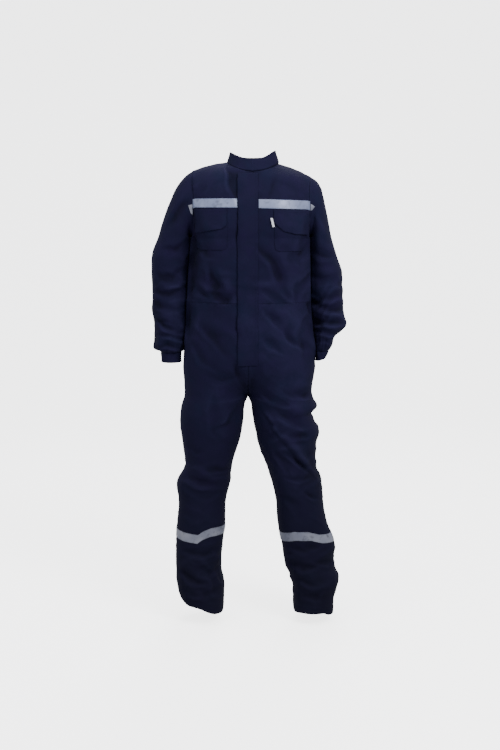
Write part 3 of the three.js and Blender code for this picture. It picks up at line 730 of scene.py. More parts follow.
FOLDS = [
    # Bodice front: drag lines from the armholes, over the waist and beside the closing
    *folds(
        F,
        BODICE,
        ([(-174, -178), (-150, -232), (-138, -300)], 3.5, 15),
        ([(-186, -232), (-160, -268), (-120, -290)], 3.0, 11),
        ([(-131, -318), (-118, -392), (-80, -428)], 6.5, 15),
        ([(-184, -372), (-150, -404), (-96, -412)], 4.0, 10),
        ([(-100, -452), (-72, -424), (-50, -384)], 3.0, 10),
        ([(166, -176), (150, -236), (146, -300)], 3.5, 15),
        ([(174, -236), (148, -272), (112, -286)], 3.0, 11),
        ([(18, -262), (60, -300), (82, -352), (102, -408)], 6.0, 14),
        ([(24, -386), (52, -404), (96, -440)], 3.5, 11),
        ([(172, -340), (140, -376), (124, -420)], 4.0, 12),
        ([(-74, -20), (-60, -56), (-47, -102)], 10.0, 13),
        ([(-47, -40), (-47.5, -250), (-47, -430)], 4.4, 5, 0.1),
    ),
    *folds(
        F,
        TROUSERS,
        ([(-47, -418), (-46, -520), (-44, -600)], 4.4, 5, 0.1),
    ),
    *folds(
        F,
        BODICE,
        ([(70, -30), (60, -76), (44, -112)], 2.2, 12),
    ),
    # Bodice back: shoulder blades, and cloth that blouses over the waist
    *folds(
        B,
        BODICE,
        ([(-170, -120), (-146, -200), (-128, -300)], 5.0, 20),
        ([(166, -130), (140, -206), (120, -310)], 5.0, 20),
        ([(-120, -56), (-60, -78), (-16, -70)], 2.5, 14),
        ([(118, -64), (66, -82), (20, -74)], 2.5, 14),
        ([(-178, -330), (-120, -372), (-44, -380)], 5.5, 13),
        ([(168, -322), (104, -362), (40, -374)], 5.0, 13),
        ([(-150, -396), (-84, -414), (-10, -404)], 5.5, 12),
        ([(146, -384), (78, -408), (18, -402)], 5.0, 12),
        ([(-90, -300), (-34, -336), (34, -330)], 4.0, 14),
        ([(-60, -160), (-10, -196), (48, -178)], 2.6, 18),
        ([(52, -236), (84, -276), (92, -340)], 3.4, 15),
    ),
    # Trousers front: drag from the hips to the fork, over the thighs, at the knees and ankles
    *folds(
        F,
        TROUSERS,
        ([(46, -452), (96, -506), (128, -548), (160, -572)], 8.0, 14),
        ([(40, -530), (66, -556), (92, -580)], 5.0, 11),
        ([(168, -470), (150, -520), (160, -600)], 3.5, 13),
        ([(-158, -502), (-118, -532), (-74, -596)], 6.0, 15),
        ([(-190, -556), (-160, -606), (-104, -640)], 4.0, 13),
        ([(-140, -660), (-90, -664), (-40, -654)], 4.0, 12),
        ([(-60, -610), (-38, -656), (-20, -704)], 4.5, 11),
        ([(22, -612), (8, -660), (-4, -706)], 4.0, 10),
        ([(30, -706), (66, -730), (120, -742)], 5.5, 12),
        ([(70, -750), (118, -794), (168, -820)], 7.5, 15),
        ([(100, -700), (150, -716), (190, -728)], 4.5, 12),
        ([(22, -741), (70, -806), (122, -870), (166, -932), (204, -982)], -6.5, 10, 0.45),
        ([(96, -826), (140, -846), (186, -850)], 5.0, 12),
        ([(104, -900), (146, -930), (190, -966)], 5.0, 9),
        ([(64, -806), (84, -818), (100, -838)], 5.0, 8),
        ([(60, -880), (92, -916), (112, -962)], 3.5, 12),
        ([(110, -984), (150, -990), (190, -980)], 3.2, 8),
        ([(170, -1030), (200, -1050), (226, -1058)], 3.4, 9),
        ([(92, -1056), (128, -1080), (150, -1120)], 3.5, 13),
        ([(-118, -716), (-124, -786), (-112, -856)], 3.5, 13),
        ([(-44, -760), (-74, -806), (-120, -826)], 3.5, 13),
        ([(-206, -880), (-178, -902), (-146, -904)], 2.4, 9),
        ([(-208, -936), (-184, -948), (-160, -944)], 2.4, 8),
        ([(-148, -962), (-112, -954), (-72, -962)], 3.4, 9),
        ([(-226, -984), (-170, -1002), (-112, -1004)], 6.0, 12),
        ([(-202, -1030), (-172, -1044), (-128, -1046), (-96, -1034)], 3.0, 11),
        ([(-216, -1104), (-190, -1120), (-160, -1122)], 2.0, 11),
        ([(-224, -1232), (-170, -1240), (-112, -1230)], 5.5, 13),
        ([(-232, -1296), (-200, -1318), (-160, -1330)], 6.5, 13),
        ([(-176, -1288), (-140, -1300), (-104, -1290)], 5.0, 12),
        ([(-214, -1362), (-160, -1376), (-110, -1364)], 4.5, 13),
        ([(124, -1276), (158, -1292), (206, -1288)], 6.5, 13),
        ([(212, -1268), (246, -1278), (268, -1268)], 6.0, 11),
        ([(150, -1330), (200, -1336), (258, -1322)], 6.0, 13),
        ([(144, -1382), (190, -1378), (232, -1388)], 4.0, 13),
        ([(116, -1216), (160, -1226), (214, -1214)], 4.0, 14),
    ),
    # Trousers back: under the seat, behind the knees and at the ankles
    *folds(
        B,
        TROUSERS,
        ([(-24, -632), (-96, -680), (-176, -698)], 7.0, 15),
        ([(8, -640), (84, -686), (160, -706)], 7.0, 15),
        ([(-40, -700), (-96, -738), (-170, -748)], 6.0, 14),
        ([(26, -706), (90, -744), (168, -762)], 6.0, 14),
        ([(-60, -480), (-96, -540), (-110, -610)], 3.5, 18),
        ([(48, -486), (86, -540), (100, -606)], 3.5, 18),
        ([(-26, -560), (-40, -610), (-30, -668)], 4.0, 12),
        ([(-70, -862), (-140, -884), (-206, -868)], 5.0, 14),
        ([(-66, -918), (-136, -950), (-200, -944)], 8.0, 14),
        ([(-84, -972), (-150, -978), (-216, -996)], 7.0, 12),
        ([(-86, -1034), (-150, -1026), (-220, -1040)], 5.5, 14),
        ([(44, -880), (116, -886), (190, -866)], 5.0, 14),
        ([(58, -934), (124, -948), (200, -930)], 8.0, 14),
        ([(80, -996), (146, -984), (214, -1000)], 7.0, 12),
        ([(92, -1052), (150, -1046), (220, -1058)], 5.0, 14),
        ([(-108, -1262), (-170, -1274), (-232, -1256)], 6.0, 14),
        ([(-106, -1318), (-170, -1332), (-236, -1316)], 6.0, 13),
        ([(120, -1250), (190, -1266), (256, -1248)], 6.0, 14),
        ([(134, -1326), (200, -1310), (262, -1322)], 6.0, 13),
    ),
    # Valleys where the sleeves lie against the body
    *folds(
        F,
        BODICE,
        ([(-182, -150), (-185, -226), (-188, -330), (-195, -425)], 9.0, 14, 0.12),
    ),
    *folds(
        F,
        TROUSERS,
        ([(-195, -425), (-199, -470), (-204, -515)], 8.0, 13, 0.12),
    ),
    *folds(
        F,
        ARM_RIGHT,
        ([(-197, -190), (-200, -270), (-205, -380), (-213, -500)], 5.0, 8, 0.1),
    ),
    *folds(
        F,
        BODICE,
        ([(181, -150), (180, -226), (179, -300)], 2.0, 7, 0.12),
    ),
    *folds(
        F,
        ARM_LEFT,
        ([(192, -140), (190, -226), (191, -300)], 2.0, 7, 0.1),
        ([(184, -424), (198, -431), (214, -430)], 9.0, 9, 0.3),
        ([(190, -486), (202, -496), (218, -500)], 9.0, 9, 0.3),
    ),
    *folds(
        F,
        TROUSERS,
        ([(166, -428), (178, -440), (186, -470)], 7.0, 10, 0.2),
    ),
    # Sleeves: drag from the armholes, breaks at the elbows and above the cuffs
    *folds(
        F,
        ARM_RIGHT,
        ([(-196, -96), (-226, -150), (-262, -190)], 3.5, 14),
        ([(-200, -236), (-236, -262), (-276, -262)], 3.5, 12),
        ([(-206, -318), (-250, -346), (-300, -340)], 4.0, 12),
        ([(-210, -376), (-256, -398), (-296, -392)], 4.5, 12),
        ([(-300, -430), (-262, -452), (-222, -446)], 3.5, 12),
        ([(-304, -488), (-266, -506), (-224, -520)], 7.0, 12),
        ([(-296, -534), (-256, -530), (-222, -546)], 5.0, 10),
        ([(-300, -566), (-262, -560), (-226, -572)], 4.0, 9),
    ),
    *folds(
        F,
        ARM_LEFT,
        ([(188, -106), (212, -156), (232, -200)], 3.5, 14),
        ([(188, -256), (220, -284), (254, -284)], 3.5, 12),
        ([(190, -344), (226, -362), (270, -352)], 4.0, 12),
        ([(188, -396), (216, -420), (278, -414)], 6.5, 12),
        ([(190, -428), (232, -452), (286, -450)], 7.0, 12),
        ([(194, -480), (238, -496), (286, -490)], 6.5, 11),
        ([(200, -522), (228, -520), (262, -530)], 4.5, 9),
        ([(206, -556), (230, -548), (254, -560)], 3.5, 8),
    ),
    *folds(
        B,
        ARM_RIGHT,
        ([(-206, -110), (-240, -166), (-270, -226)], 4.0, 16),
        ([(-214, -330), (-262, -352), (-306, -340)], 6.0, 13),
        ([(-216, -380), (-262, -392), (-308, -378)], 5.5, 12),
        ([(-220, -440), (-266, -430), (-306, -440)], 4.5, 13),
        ([(-222, -510), (-262, -524), (-304, -510)], 5.0, 12),
    ),
    *folds(
        B,
        ARM_LEFT,
        ([(196, -120), (218, -176), (240, -236)], 4.0, 16),
        ([(192, -350), (232, -370), (276, -356)], 6.0, 13),
        ([(192, -402), (236, -410), (280, -398)], 5.5, 12),
        ([(196, -462), (240, -452), (284, -464)], 4.5, 13),
        ([(200, -516), (232, -528), (264, -520)], 4.5, 11),
    ),
]


STACKS = [
    Stack(TROUSERS, (-260, -80), (-1420, -1215), 2.4, 54, 0.3),
    Stack(TROUSERS, (100, 290), (-1420, -1205), 2.6, 50, -0.25),
    Stack(TROUSERS, (-240, -50), (-1050, -900), 1.4, 48, 0.35),
    Stack(TROUSERS, (30, 250), (-1050, -760), 1.5, 52, -0.55),
    Stack(BODICE, (-205, 190), (-425, -300), 1.3, 64, 0.3),
    Stack(ARM_RIGHT, (-330, -200), (-590, -300), 1.2, 44, 0.35),
    Stack(ARM_LEFT, (180, 305), (-590, -330), 1.5, 40, -0.35),
]


@dataclass(frozen=True)
class Crumple:
    """Short sharp creases over a stretch of cloth: height, length, width, and slant in degrees."""

    part: Part
    x: tuple[float, float]
    z: tuple[float, float]
    height: float
    length: float
    width: float
    slant: float


CRUMPLES = [
    Crumple(BODICE, (-210, 200), (-430, -20), 1.5, 120, 34, 62),
    Crumple(BODICE, (-210, 200), (-430, -250), 1.3, 90, 30, -24),
    Crumple(TROUSERS, (-240, 230), (-800, -425), 1.8, 120, 34, -38),
    Crumple(TROUSERS, (-270, -20), (-1180, -800), 1.3, 110, 34, -12),
    Crumple(TROUSERS, (0, 290), (-1180, -740), 2.2, 120, 34, -44),
    Crumple(TROUSERS, (-270, 300), (-1440, -1170), 2.4, 90, 28, 12),
    Crumple(ARM_RIGHT, (-330, -190), (-330, -30), 1.4, 110, 34, 58),
    Crumple(ARM_RIGHT, (-330, -190), (-590, -300), 1.5, 90, 26, -14),
    Crumple(ARM_LEFT, (180, 310), (-330, -40), 1.4, 110, 34, -58),
    Crumple(ARM_LEFT, (180, 310), (-590, -300), 1.9, 90, 26, 16),
]


def noise_sum(points: Array, layers: Sequence[tuple[float, float, float]]) -> Array:
    """Noise in layers at some points, each with its height, its wave and its shift."""
    return sum(height * NOISE.at(points + shift, wave) for height, wave, shift in layers)


class Folding:
    """Works out how deep the folds press the cloth, in millimetres."""

    FACING = 2.6
    END = 0.3
    STEEP = 0.7
    UNEVEN = 0.45
    UNEVEN_WAVE = 42.0
    FULLNESS = 0.5
    WANDER, WANDER_WAVE = 5.0, 38
    END_WIDTH, MORE_WIDTH = 0.65, 0.3
    TROUGH, TAPER = 1.5, 0.8
    INNER_RIDGE, INNER_SPREAD = 1.75, 0.7
    OUTER_RIDGE, OUTER_SPREAD, OUTER_SHARE = -1.9, 0.9, 0.7
    STACK_WARP = ((26, 90, 0), (12, 46, 37))
    STACK_DRIFT, STACK_SECOND = 0.35, 0.35
    STACK_EVEN, STACK_SPREAD = 0.5, ((0.9, 80, 211),)
    BORDER = 30
    CREASE, CREASE_NARROW, CREASE_SHIFT, CREASE_FADE = 2.6, 1.5, 7.3, 40
    CREASE_EVEN, CREASE_SPREAD, CREASE_WAVE = 0.35, 1.1, 95
    DRAPE_TALL = (1, 1, 0.45)
    BROAD = ((2.2, 110, 0), (1.1, 52, 19))
    FINE = ((0.35, 21, 5), (0.12, 9, 0))
    CALM_COLLAR, CALM_CUFF = 0.25, 0.3

    def __init__(self, cloth: Cloth) -> None:
        """Keeps what all folds need of the cloth."""
        self.points = cloth.points
        self.normals = cloth.normals()
        self.part = cloth.part
        self.uneven = 1 + self.UNEVEN * NOISE.at(self.points, self.UNEVEN_WAVE)

    def fold(self, one: Fold) -> Array:
        """The depth of one fold at each point of the cloth.

        Args:
            one: the fold.

        Returns:
            Inward depths, with a low ridge on each side of a trough.
        """
        path = np.array(one.path, float)
        wander = [NOISE.at(self.points + shift, self.WANDER_WAVE) for shift in (71, 151)]
        flat = self.points[:, [0, 2]] + self.WANDER * np.stack(wander, -1)
        lengths = np.linalg.norm(np.diff(path, axis=0), axis=1)
        reached = np.concatenate([[0], np.cumsum(lengths)])
        best = np.full(len(flat), np.inf)
        along = np.zeros(len(flat))
        signed = np.zeros(len(flat))
        for a, b, length, start in zip(path[:-1], path[1:], lengths, reached):
            run = (b - a) / length
            offset = flat - a
            t = np.clip(offset @ run, 0, length)
            away = offset - t[:, None] * run
            distance = np.linalg.norm(away, axis=1)
            nearer = distance < best
            best = np.where(nearer, distance, best)
            along = np.where(nearer, (start + t) / reached[-1], along)
            side = np.sign(offset[:, 0] * run[1] - offset[:, 1] * run[0])
            signed = np.where(nearer, distance * side, signed)
        width = one.width * (self.END_WIDTH + self.MORE_WIDTH * np.sin(np.pi * along))
        q = signed / np.where(signed > 0, width * self.STEEP, width / self.STEEP)
        shape = np.exp(-np.abs(q) ** self.TROUGH)
        shape -= one.ridge * np.exp(-((q - self.INNER_RIDGE) ** 2) / self.INNER_SPREAD)
        outer = np.exp(-((q - self.OUTER_RIDGE) ** 2) / self.OUTER_SPREAD)
        shape -= self.OUTER_SHARE * one.ridge * outer
        taper = mix(self.END, 1, np.sin(np.pi * along) ** self.TAPER)
        facing = smooth(self.normals[:, 1] * one.face.value * self.FACING)
        return one.depth * taper * shape * facing * (self.part == one.part.value) * self.uneven

    def stack(self, one: Stack) -> Array:
        """The depth of a run of crossing folds at each point of the cloth."""
        x, z = self.points[:, 0], self.points[:, 2]
        warp = noise_sum(self.points, self.STACK_WARP)
        drift = self.STACK_DRIFT * self.points[:, 1]
        phase = 2 * np.pi * (z + one.slant * x + drift + warp) / one.wave
        wave = np.sin(phase) + self.STACK_SECOND * np.sin(2 * phase + 1)
        strength = smooth(self.STACK_EVEN + noise_sum(self.points, self.STACK_SPREAD))
        return one.depth * wave * strength * self.inside(one, one.fade)

    def inside(self, one: Stack | Crumple, fade: float) -> Array:
        """1 inside a stretch of its part, falling to 0 at its borders."""
        x, z = self.points[:, 0], self.points[:, 2]
        across = smooth((x - one.x[0]) / self.BORDER) * smooth((one.x[1] - x) / self.BORDER)
        down = smooth((z - one.z[0]) / fade) * smooth((one.z[1] - z) / fade)
        return across * down * (self.part == one.part.value)

    def crumple(self, one: Crumple, number: int) -> Array:
        """The depth of one stretch of creases.

        They are narrow ridges along the level lines of drawn-out noise.

        Args:
            one: the stretch.
            number: its number, which picks its own noise.

        Returns:
            Outward ridges as depths below 0.
        """
        x, y, z = self.points.T
        turn = math.radians(one.slant)
        along = x * math.cos(turn) + z * math.sin(turn)
        across = z * math.cos(turn) - x * math.sin(turn)
        place = np.stack([along / one.length, y / one.length, across / one.width], -1)
        place = place + self.CREASE_SHIFT * number
        ridge = 1 - np.clip(np.abs(NOISE.at(place, 1)) * self.CREASE_NARROW, 0, 1)
        spread = self.CREASE_SPREAD * NOISE.at(self.points + 57 * number, self.CREASE_WAVE)
        strength = smooth(self.CREASE_EVEN + spread)
        return -one.height * ridge**self.CREASE * strength * self.inside(one, self.CREASE_FADE)

    def drape(self) -> Array:
        """Broad unevenness all over, which no single fold gives."""
        broad = noise_sum(self.points * np.array(self.DRAPE_TALL), self.BROAD)
        fine = noise_sum(self.points, self.FINE)
        calm = np.where(self.part == Part.COLLAR.value, self.CALM_COLLAR, 1.0)
        calm = np.where(self.part == Part.CUFF.value, self.CALM_CUFF, calm)
        return (broad + fine) * calm

    def total(self) -> Array:
        """All folds together."""
        depth = self.drape()
        for fold in FOLDS:
            depth = depth + self.fold(fold)
        for stack in STACKS:
            depth = depth + self.stack(stack)
        for number, crumple in enumerate(CRUMPLES):
            depth = depth + self.crumple(crumple, number)
        for part in Part:
            own = self.part == part.value
            depth[own] -= depth[own].mean() + self.FULLNESS
        return depth


class NodeMaterial:
    """A node material with short ways to place and join its nodes."""

    def __init__(self, name: str) -> None:
        """Makes the material with its shader, and the coordinates that its textures use."""
        self.material = bpy.data.materials.new(name)
        self.material.use_nodes = True
        self.tree = self.material.node_tree
        self.tree.nodes.clear()
        output = self.node("ShaderNodeOutputMaterial")
        self.shader = self.node("ShaderNodeBsdfPrincipled")
        self.link(self.shader, "BSDF", output, "Surface")
        self.place = self.node("ShaderNodeTexCoord")

    def node(self, kind: str, inputs: Inputs | None = None, **settings: object) -> bpy.types.Node:
        """Adds a node with its settings and the values of its inputs."""
        made = self.tree.nodes.new(kind)
        for key, value in settings.items():
            setattr(made, key, value)
        for key, value in (inputs or {}).items():
            made.inputs[key].default_value = value
        return made

    def link(self, a: bpy.types.Node, out: str, b: bpy.types.Node, into: str | int) -> None:
        """Joins one node's output to another's input."""
        self.tree.links.new(a.outputs[out], b.inputs[into])

    def attribute(self, name: str) -> bpy.types.Node:
        """A value that the mesh holds for each point."""
        return self.node("ShaderNodeAttribute", attribute_name=name)

    def noise(self, scale: float, detail: float, rough: float) -> bpy.types.Node:
        """Noise on object coordinates, scale in waves per metre."""
        made = self.node("ShaderNodeTexNoise", {"Scale": scale, "Detail": detail, "Roughness": rough})
        self.link(self.place, "Object", made, "Vector")
        return made

    def weave(self, axis: str, inputs: Inputs, slant: float = 0.0) -> bpy.types.Node:
        """Bands along the cloth's own lengths, turned by a slant in degrees."""
        bands = self.node("ShaderNodeTexWave", inputs, wave_type="BANDS", bands_direction=axis)
        lengths, out = self.node("ShaderNodeUVMap", uv_map="cloth"), "UV"
        if slant:
            turned = self.node("ShaderNodeMapping", {"Rotation": (0, 0, math.radians(slant))})
            self.link(lengths, out, turned, "Vector")
            lengths, out = turned, "Vector"
        self.link(lengths, out, bands, "Vector")
        return bands

    def ramp(self, source: bpy.types.Node, low: float, high: float, out: str = "Fac") -> bpy.types.Node:
        """0 to 1 as the source goes from low to high."""
        flip = high < low
        made = self.node(
            "ShaderNodeMapRange",
            {
                "From Min": min(low, high),
                "From Max": max(low, high),
                "To Min": 1 if flip else 0,
                "To Max": 0 if flip else 1,
            },
            interpolation_type="SMOOTHSTEP",
        )
        self.link(source, out if out in source.outputs else source.outputs[0].name, made, "Value")
        return made

    def maths(self, operation: str, a: bpy.types.Node, b: bpy.types.Node | float) -> bpy.types.Node:
        """A sum, difference or product of a node's value and another's, or a number."""
        made = self.node("ShaderNodeMath", operation=operation)
        for i, source in enumerate((a, b)):
            if isinstance(source, bpy.types.Node):
                out = "Fac" if "Fac" in source.outputs else source.outputs[0].name
                self.link(source, out, made, i)
            else:
                made.inputs[i].default_value = source
        return made

    def swayed(self, source: bpy.types.Node, by: bpy.types.Node, share: float) -> bpy.types.Node:
        """A value, moved up and down by a share of noise."""
        centred = self.maths("SUBTRACT", by, 0.5)
        return self.maths("ADD", source, self.maths("MULTIPLY", centred, share))

    def layered(self, base: Colour, layers: Sequence[tuple[Colour, bpy.types.Node, float]]) -> None:
        """Colours the shader with a base and layers over it: a colour, its mask and its share."""
        below: bpy.types.Node | None = None
        for tint, mask, share in layers:
            made = self.node("ShaderNodeMixRGB", {"Color1": (*base, 1), "Color2": (*tint, 1)})
            self.link(self.maths("MULTIPLY", mask, share), "Value", made, "Fac")
            if below is not None:
                self.link(below, "Color", made, "Color1")
            below = made
        self.link(below, "Color", self.shader, "Base Color")

    def uneven_gloss(self, source: bpy.types.Node, low: float, high: float) -> None:
        """Lets the shader's roughness follow noise."""
        made = self.node("ShaderNodeMapRange", {"To Min": low, "To Max": high})
        self.link(source, "Fac", made, "Value")
        self.link(made, "Result", self.shader, "Roughness")

    def bumpy(self, *bumps: tuple[bpy.types.Node, float, float]) -> None:
        """Gives the shader bumps one over the other: a texture, its depth in metres and its strength."""
        below: bpy.types.Node | None = None
        for source, depth, strength in bumps:
            made = self.node("ShaderNodeBump", {"Strength": strength, "Distance": depth})
            self.link(source, "Fac", made, "Height")
            if below is not None:
                self.link(below, "Normal", made, "Normal")
            below = made
        self.link(below, "Normal", self.shader, "Normal")

    def surface(self, **values: object) -> None:
        """Sets inputs of the shader, named with lines for spaces."""
        for key, value in values.items():
            self.shader.inputs[key.replace("_", " ")].default_value = value


@dataclass(frozen=True)
class TwillFinish:
    """Navy cotton twill: a matt cloth with a fine diagonal weave. Fold ridges are paler, partly as wear and
    partly as painted highlight; troughs and seam grooves are darker as painted shade; seams and hems are
    paler where they rub; the cloth is darker towards the bottom.
    """

    name: str = "navy_twill"
    slot: str = "navy_cloth"
    base: Colour = (0.0073, 0.0067, 0.0250)
    # Paler navy: real wear where seams and hems rub, random paler tone, and on fold ridges partly wear and
    # partly painted highlight.
    worn: Colour = (0.0148, 0.0138, 0.0450)
    # Darker navy: the weave and yarn, and painted shade in the creases and seam grooves.
    deep: Colour = (0.0025, 0.0024, 0.0075)
    # Darker navy that grows towards the bottom of the suit.
    soil: Colour = (0.0047, 0.0044, 0.0112)
    warm: Colour = (0.0104, 0.0062, 0.0320)
    cool: Colour = (0.0052, 0.0094, 0.0290)

    def material(self) -> bpy.types.Material:
        """Builds the material."""
        made = NodeMaterial(self.name)
        ribs = made.weave("X", {"Scale": 314, "Distortion": 0.4, "Detail": 1}, slant=60)
        yarn, mottle = made.noise(900, 3, 0.6), made.noise(34, 5, 0.62)
        broad, drift = made.noise(5.5, 3, 0.5), made.noise(17, 4, 0.6)
        relief, rub = made.attribute("relief"), made.attribute("rub")
        rubbed = made.maths("MULTIPLY", rub, made.ramp(mottle, 0.35, 0.62))
        height = made.node("ShaderNodeSeparateXYZ")
        made.link(made.place, "Object", height, "Vector")
        layers = (
            # Fold ridges paler: partly wear, partly painted highlight.
            (self.worn, made.ramp(made.swayed(relief, mottle, 0.88), 0.10, 0.95), 0.62),
            # Troughs and seam grooves darker: painted shade.
            (self.deep, made.ramp(relief, 0.0, -0.9), 0.70),
            (self.worn, made.ramp(broad, 0.42, 0.72), 0.16),
            (self.worn, rubbed, 0.80),
            (self.warm, made.ramp(drift, 0.45, 0.75), 0.45),
            (self.cool, made.ramp(drift, 0.52, 0.25), 0.40),
            (self.deep, made.ramp(yarn, 0.35, 0.75), 0.22),
            (self.deep, made.ramp(ribs, 0.2, 0.9), 0.20),
            # Darker towards the bottom of the suit.
            (self.soil, made.ramp(height, -0.55, -1.45, "Z"), 0.75),
        )
        made.layered(self.base, layers)
        made.uneven_gloss(mottle, 0.78, 0.94)
        made.surface(Sheen_Weight=0.008, Sheen_Roughness=0.55, Sheen_Tint=(0.55, 0.60, 0.85, 1))
        made.surface(Specular_IOR_Level=0.06)
        made.bumpy((ribs, 0.00012, 0.35), (yarn, 0.00010, 0.25), (mottle, 0.0011, 0.30))
        return made.material


@dataclass(frozen=True)
class ThreadFinish:
    """Sewing thread in the colour of what it sews, a little darker."""

    name: str
    slot: str
    colour: Colour

    def material(self) -> bpy.types.Material:
        """Builds the material."""
        made = NodeMaterial(self.name)
        paler = tuple(min(1, c * 1.7) for c in self.colour)
        made.layered(self.colour, [(paler, made.ramp(made.noise(700, 2, 0.5), 0.35, 0.7), 1)])
        made.surface(Roughness=0.8, Specular_IOR_Level=0.1)
        return made.material


@dataclass(frozen=True)
class TapeFinish:
    """Grey reflective tape: glass beads on cloth, satin, with faint crosswise wear."""

    name: str = "grey_tape"
    slot: str = "reflective_tape"
    base: Colour = (0.150, 0.175, 0.285)
    pale: Colour = (0.225, 0.255, 0.380)
    dull: Colour = (0.070, 0.082, 0.130)

    def material(self) -> bpy.types.Material:
        """Builds the material."""
        made = NodeMaterial(self.name)
        beads, scuff, cloud = made.noise(1400, 2, 0.5), made.noise(60, 5, 0.65), made.noise(12, 2, 0.5)
        weave = made.weave("Y", {"Scale": 250, "Distortion": 0.6})
        rubbed = made.maths("MULTIPLY", made.attribute("rub"), made.ramp(scuff, 0.3, 0.6))
        layers = (
            (self.pale, made.ramp(cloud, 0.38, 0.68), 1),
            (self.dull, made.ramp(scuff, 0.50, 0.72), 0.75),
            (self.pale, made.ramp(beads, 0.5, 0.8), 0.35),
            (self.dull, rubbed, 1),
        )
        made.layered(self.base, layers)
        made.uneven_gloss(scuff, 0.36, 0.56)
        made.surface(Metallic=0.15, Specular_IOR_Level=0.5)
        made.bumpy((weave, 0.00010, 0.25), (beads, 0.00008, 0.3), (scuff, 0.0006, 0.25))
        return made.material


@dataclass(frozen=True)
class LabelFinish:
    """A blank white woven tab."""

    name: str = "white_tab"
    slot: str = "white_label"
    base: Colour = (0.66, 0.67, 0.72)
    shade: Colour = (0.50, 0.51, 0.57)

    def material(self) -> bpy.types.Material:
        """Builds the material."""
        made = NodeMaterial(self.name)
        weave = made.weave("Y", {"Scale": 520})
        mottle = made.ramp(made.noise(160, 4, 0.6), 0.4, 0.7)
        layers = ((self.shade, mottle, 1), (self.shade, made.ramp(weave, 0.2, 0.8), 0.3))
        made.layered(self.base, layers)
        made.surface(Roughness=0.75)
        made.bumpy((weave, 0.0001, 0.4))
        return made.material


Finish = TwillFinish | TapeFinish | LabelFinish
TWILL, LABEL_FINISH, CHEST_TAPE = TwillFinish(), LabelFinish(), TapeFinish()
# A darker grey tape: on the shins it is simply darker, and on the tape ends under the arms the darkness is
# painted shade.
DARKER_TAPE = TapeFinish(
    "grey_tape_worn", base=(0.130, 0.137, 0.185), pale=(0.200, 0.205, 0.250), dull=(0.040, 0.042, 0.060)
)
NAVY_THREAD = ThreadFinish("navy_thread", "navy_cloth", (0.0036, 0.0038, 0.0150))
GREY_THREAD = ThreadFinish("grey_thread", "reflective_tape", (0.10, 0.11, 0.16))


class Edge(Enum):
    """A side of a grid of cloth."""

    FIRST_ROW = 0
    LAST_ROW = 1
    FIRST_COLUMN = 2
    LAST_COLUMN = 3


TOP, BOTTOM, START, END = Edge
Edges = tuple[Edge, ...]
Sewing = Sequence[tuple[Edge, tuple[float, ...]]]
SINGLE, DOUBLE = (2.2,), (2.2, 8.0)


def along(at: Array | float, reached: Array, values: Array) -> Array:
    """Points, or directions, at lengths along a line of them."""
    return np.stack([np.interp(at, reached, values[:, c]) for c in range(3)], -1)


def close_to(away: Array, reach: float) -> Array:
    """1 on an edge, falling to 0 beyond a reach in millimetres."""
    return np.exp(-((away / reach) ** 2))


@dataclass
class Sheet:
    """A grid of cloth in its place, with what its mesh and material need of each point."""

    points: Array
    normals: Array
    turn: int
    closed: bool
    relief: Array
    rub: Array

    def lengths(self) -> tuple[Array, Array]:
        """Lengths along rows and down columns, in millimetres."""
        across = np.linalg.norm(np.diff(self.points, axis=1), axis=-1)
        down = np.linalg.norm(np.diff(self.points, axis=0), axis=-1)
        return np.cumsum(np.pad(across, ((0, 0), (1, 0))), 1), np.cumsum(np.pad(down, ((1, 0), (0, 0))), 0)

    def sampled(self, rows: Array, columns: Array) -> "Sheet":
        """The sheet at fractional rows, and at fractional columns where it is open."""

        def take(values: Array) -> Array:
            """A grid of values at those rows and columns."""
            for axis, places in enumerate((rows,) if self.closed else (rows, columns)):
                values = values.swapaxes(0, axis)
                j = np.clip(np.floor(places).astype(int), 0, len(values) - 2)
                f = (places - j).reshape((-1,) + (1,) * (values.ndim - 1))
                values = (values[j] * (1 - f) + values[j + 1] * f).swapaxes(0, axis)
            return values

        grids = [take(v) for v in (self.points, self.normals, self.relief, self.rub)]
        return Sheet(grids[0], unit(grids[1]), self.turn, self.closed, *grids[2:])

    def edge_distance(self, edges: Sequence[Edge]) -> Array:
        """How far each point is from the nearest of some edges, in millimetres."""
        u, v = self.lengths()
        away = {START: u, END: u[:, -1:] - u, TOP: v, BOTTOM: v[-1:] - v}
        return np.min([np.full(u.shape, np.inf)] + [away[e] for e in edges], axis=0)

    def line(self, edge: Edge, inset: float) -> tuple[Array, Array]:
        """Points and normals of a line at an inset from one edge."""
        reach, across = self.lengths()
        points, normals = self.points, self.normals
        on_row = edge in (TOP, BOTTOM)
        if on_row:
            reach, points, normals = across.T, points.swapaxes(0, 1), normals.swapaxes(0, 1)
        if edge in (END, BOTTOM):
            reach, points, normals = (reach[:, -1:] - reach)[:, ::-1], points[:, ::-1], normals[:, ::-1]
        found = np.array([along(inset, r, p) for r, p in zip(reach, points)])
        facing = unit(np.array([along(inset, r, n) for r, n in zip(reach, normals)]))
        if self.closed and on_row:
            found, facing = np.vstack([found, found[:1]]), np.vstack([facing, facing[:1]])
        return found, facing


def add_mesh(name: str, points: Array, faces: list, material: bpy.types.Material) -> bpy.types.Object:
    """Adds a smooth mesh object to the scene, its points in metres."""
    mesh = bpy.data.meshes.new(name)
    mesh.from_pydata(points.tolist(), [], faces)
    mesh.materials.append(material)
    shade(mesh, np.ones(len(mesh.polygons), bool))
    made = bpy.data.objects.new(name, mesh)
    bpy.context.scene.collection.objects.link(made)
    return made


def shade(mesh: bpy.types.Mesh, smoothly: Array) -> None:
    """Shades the faces of a mesh smooth or flat."""
    mesh.polygons.foreach_set("use_smooth", smoothly)
    mesh.update()


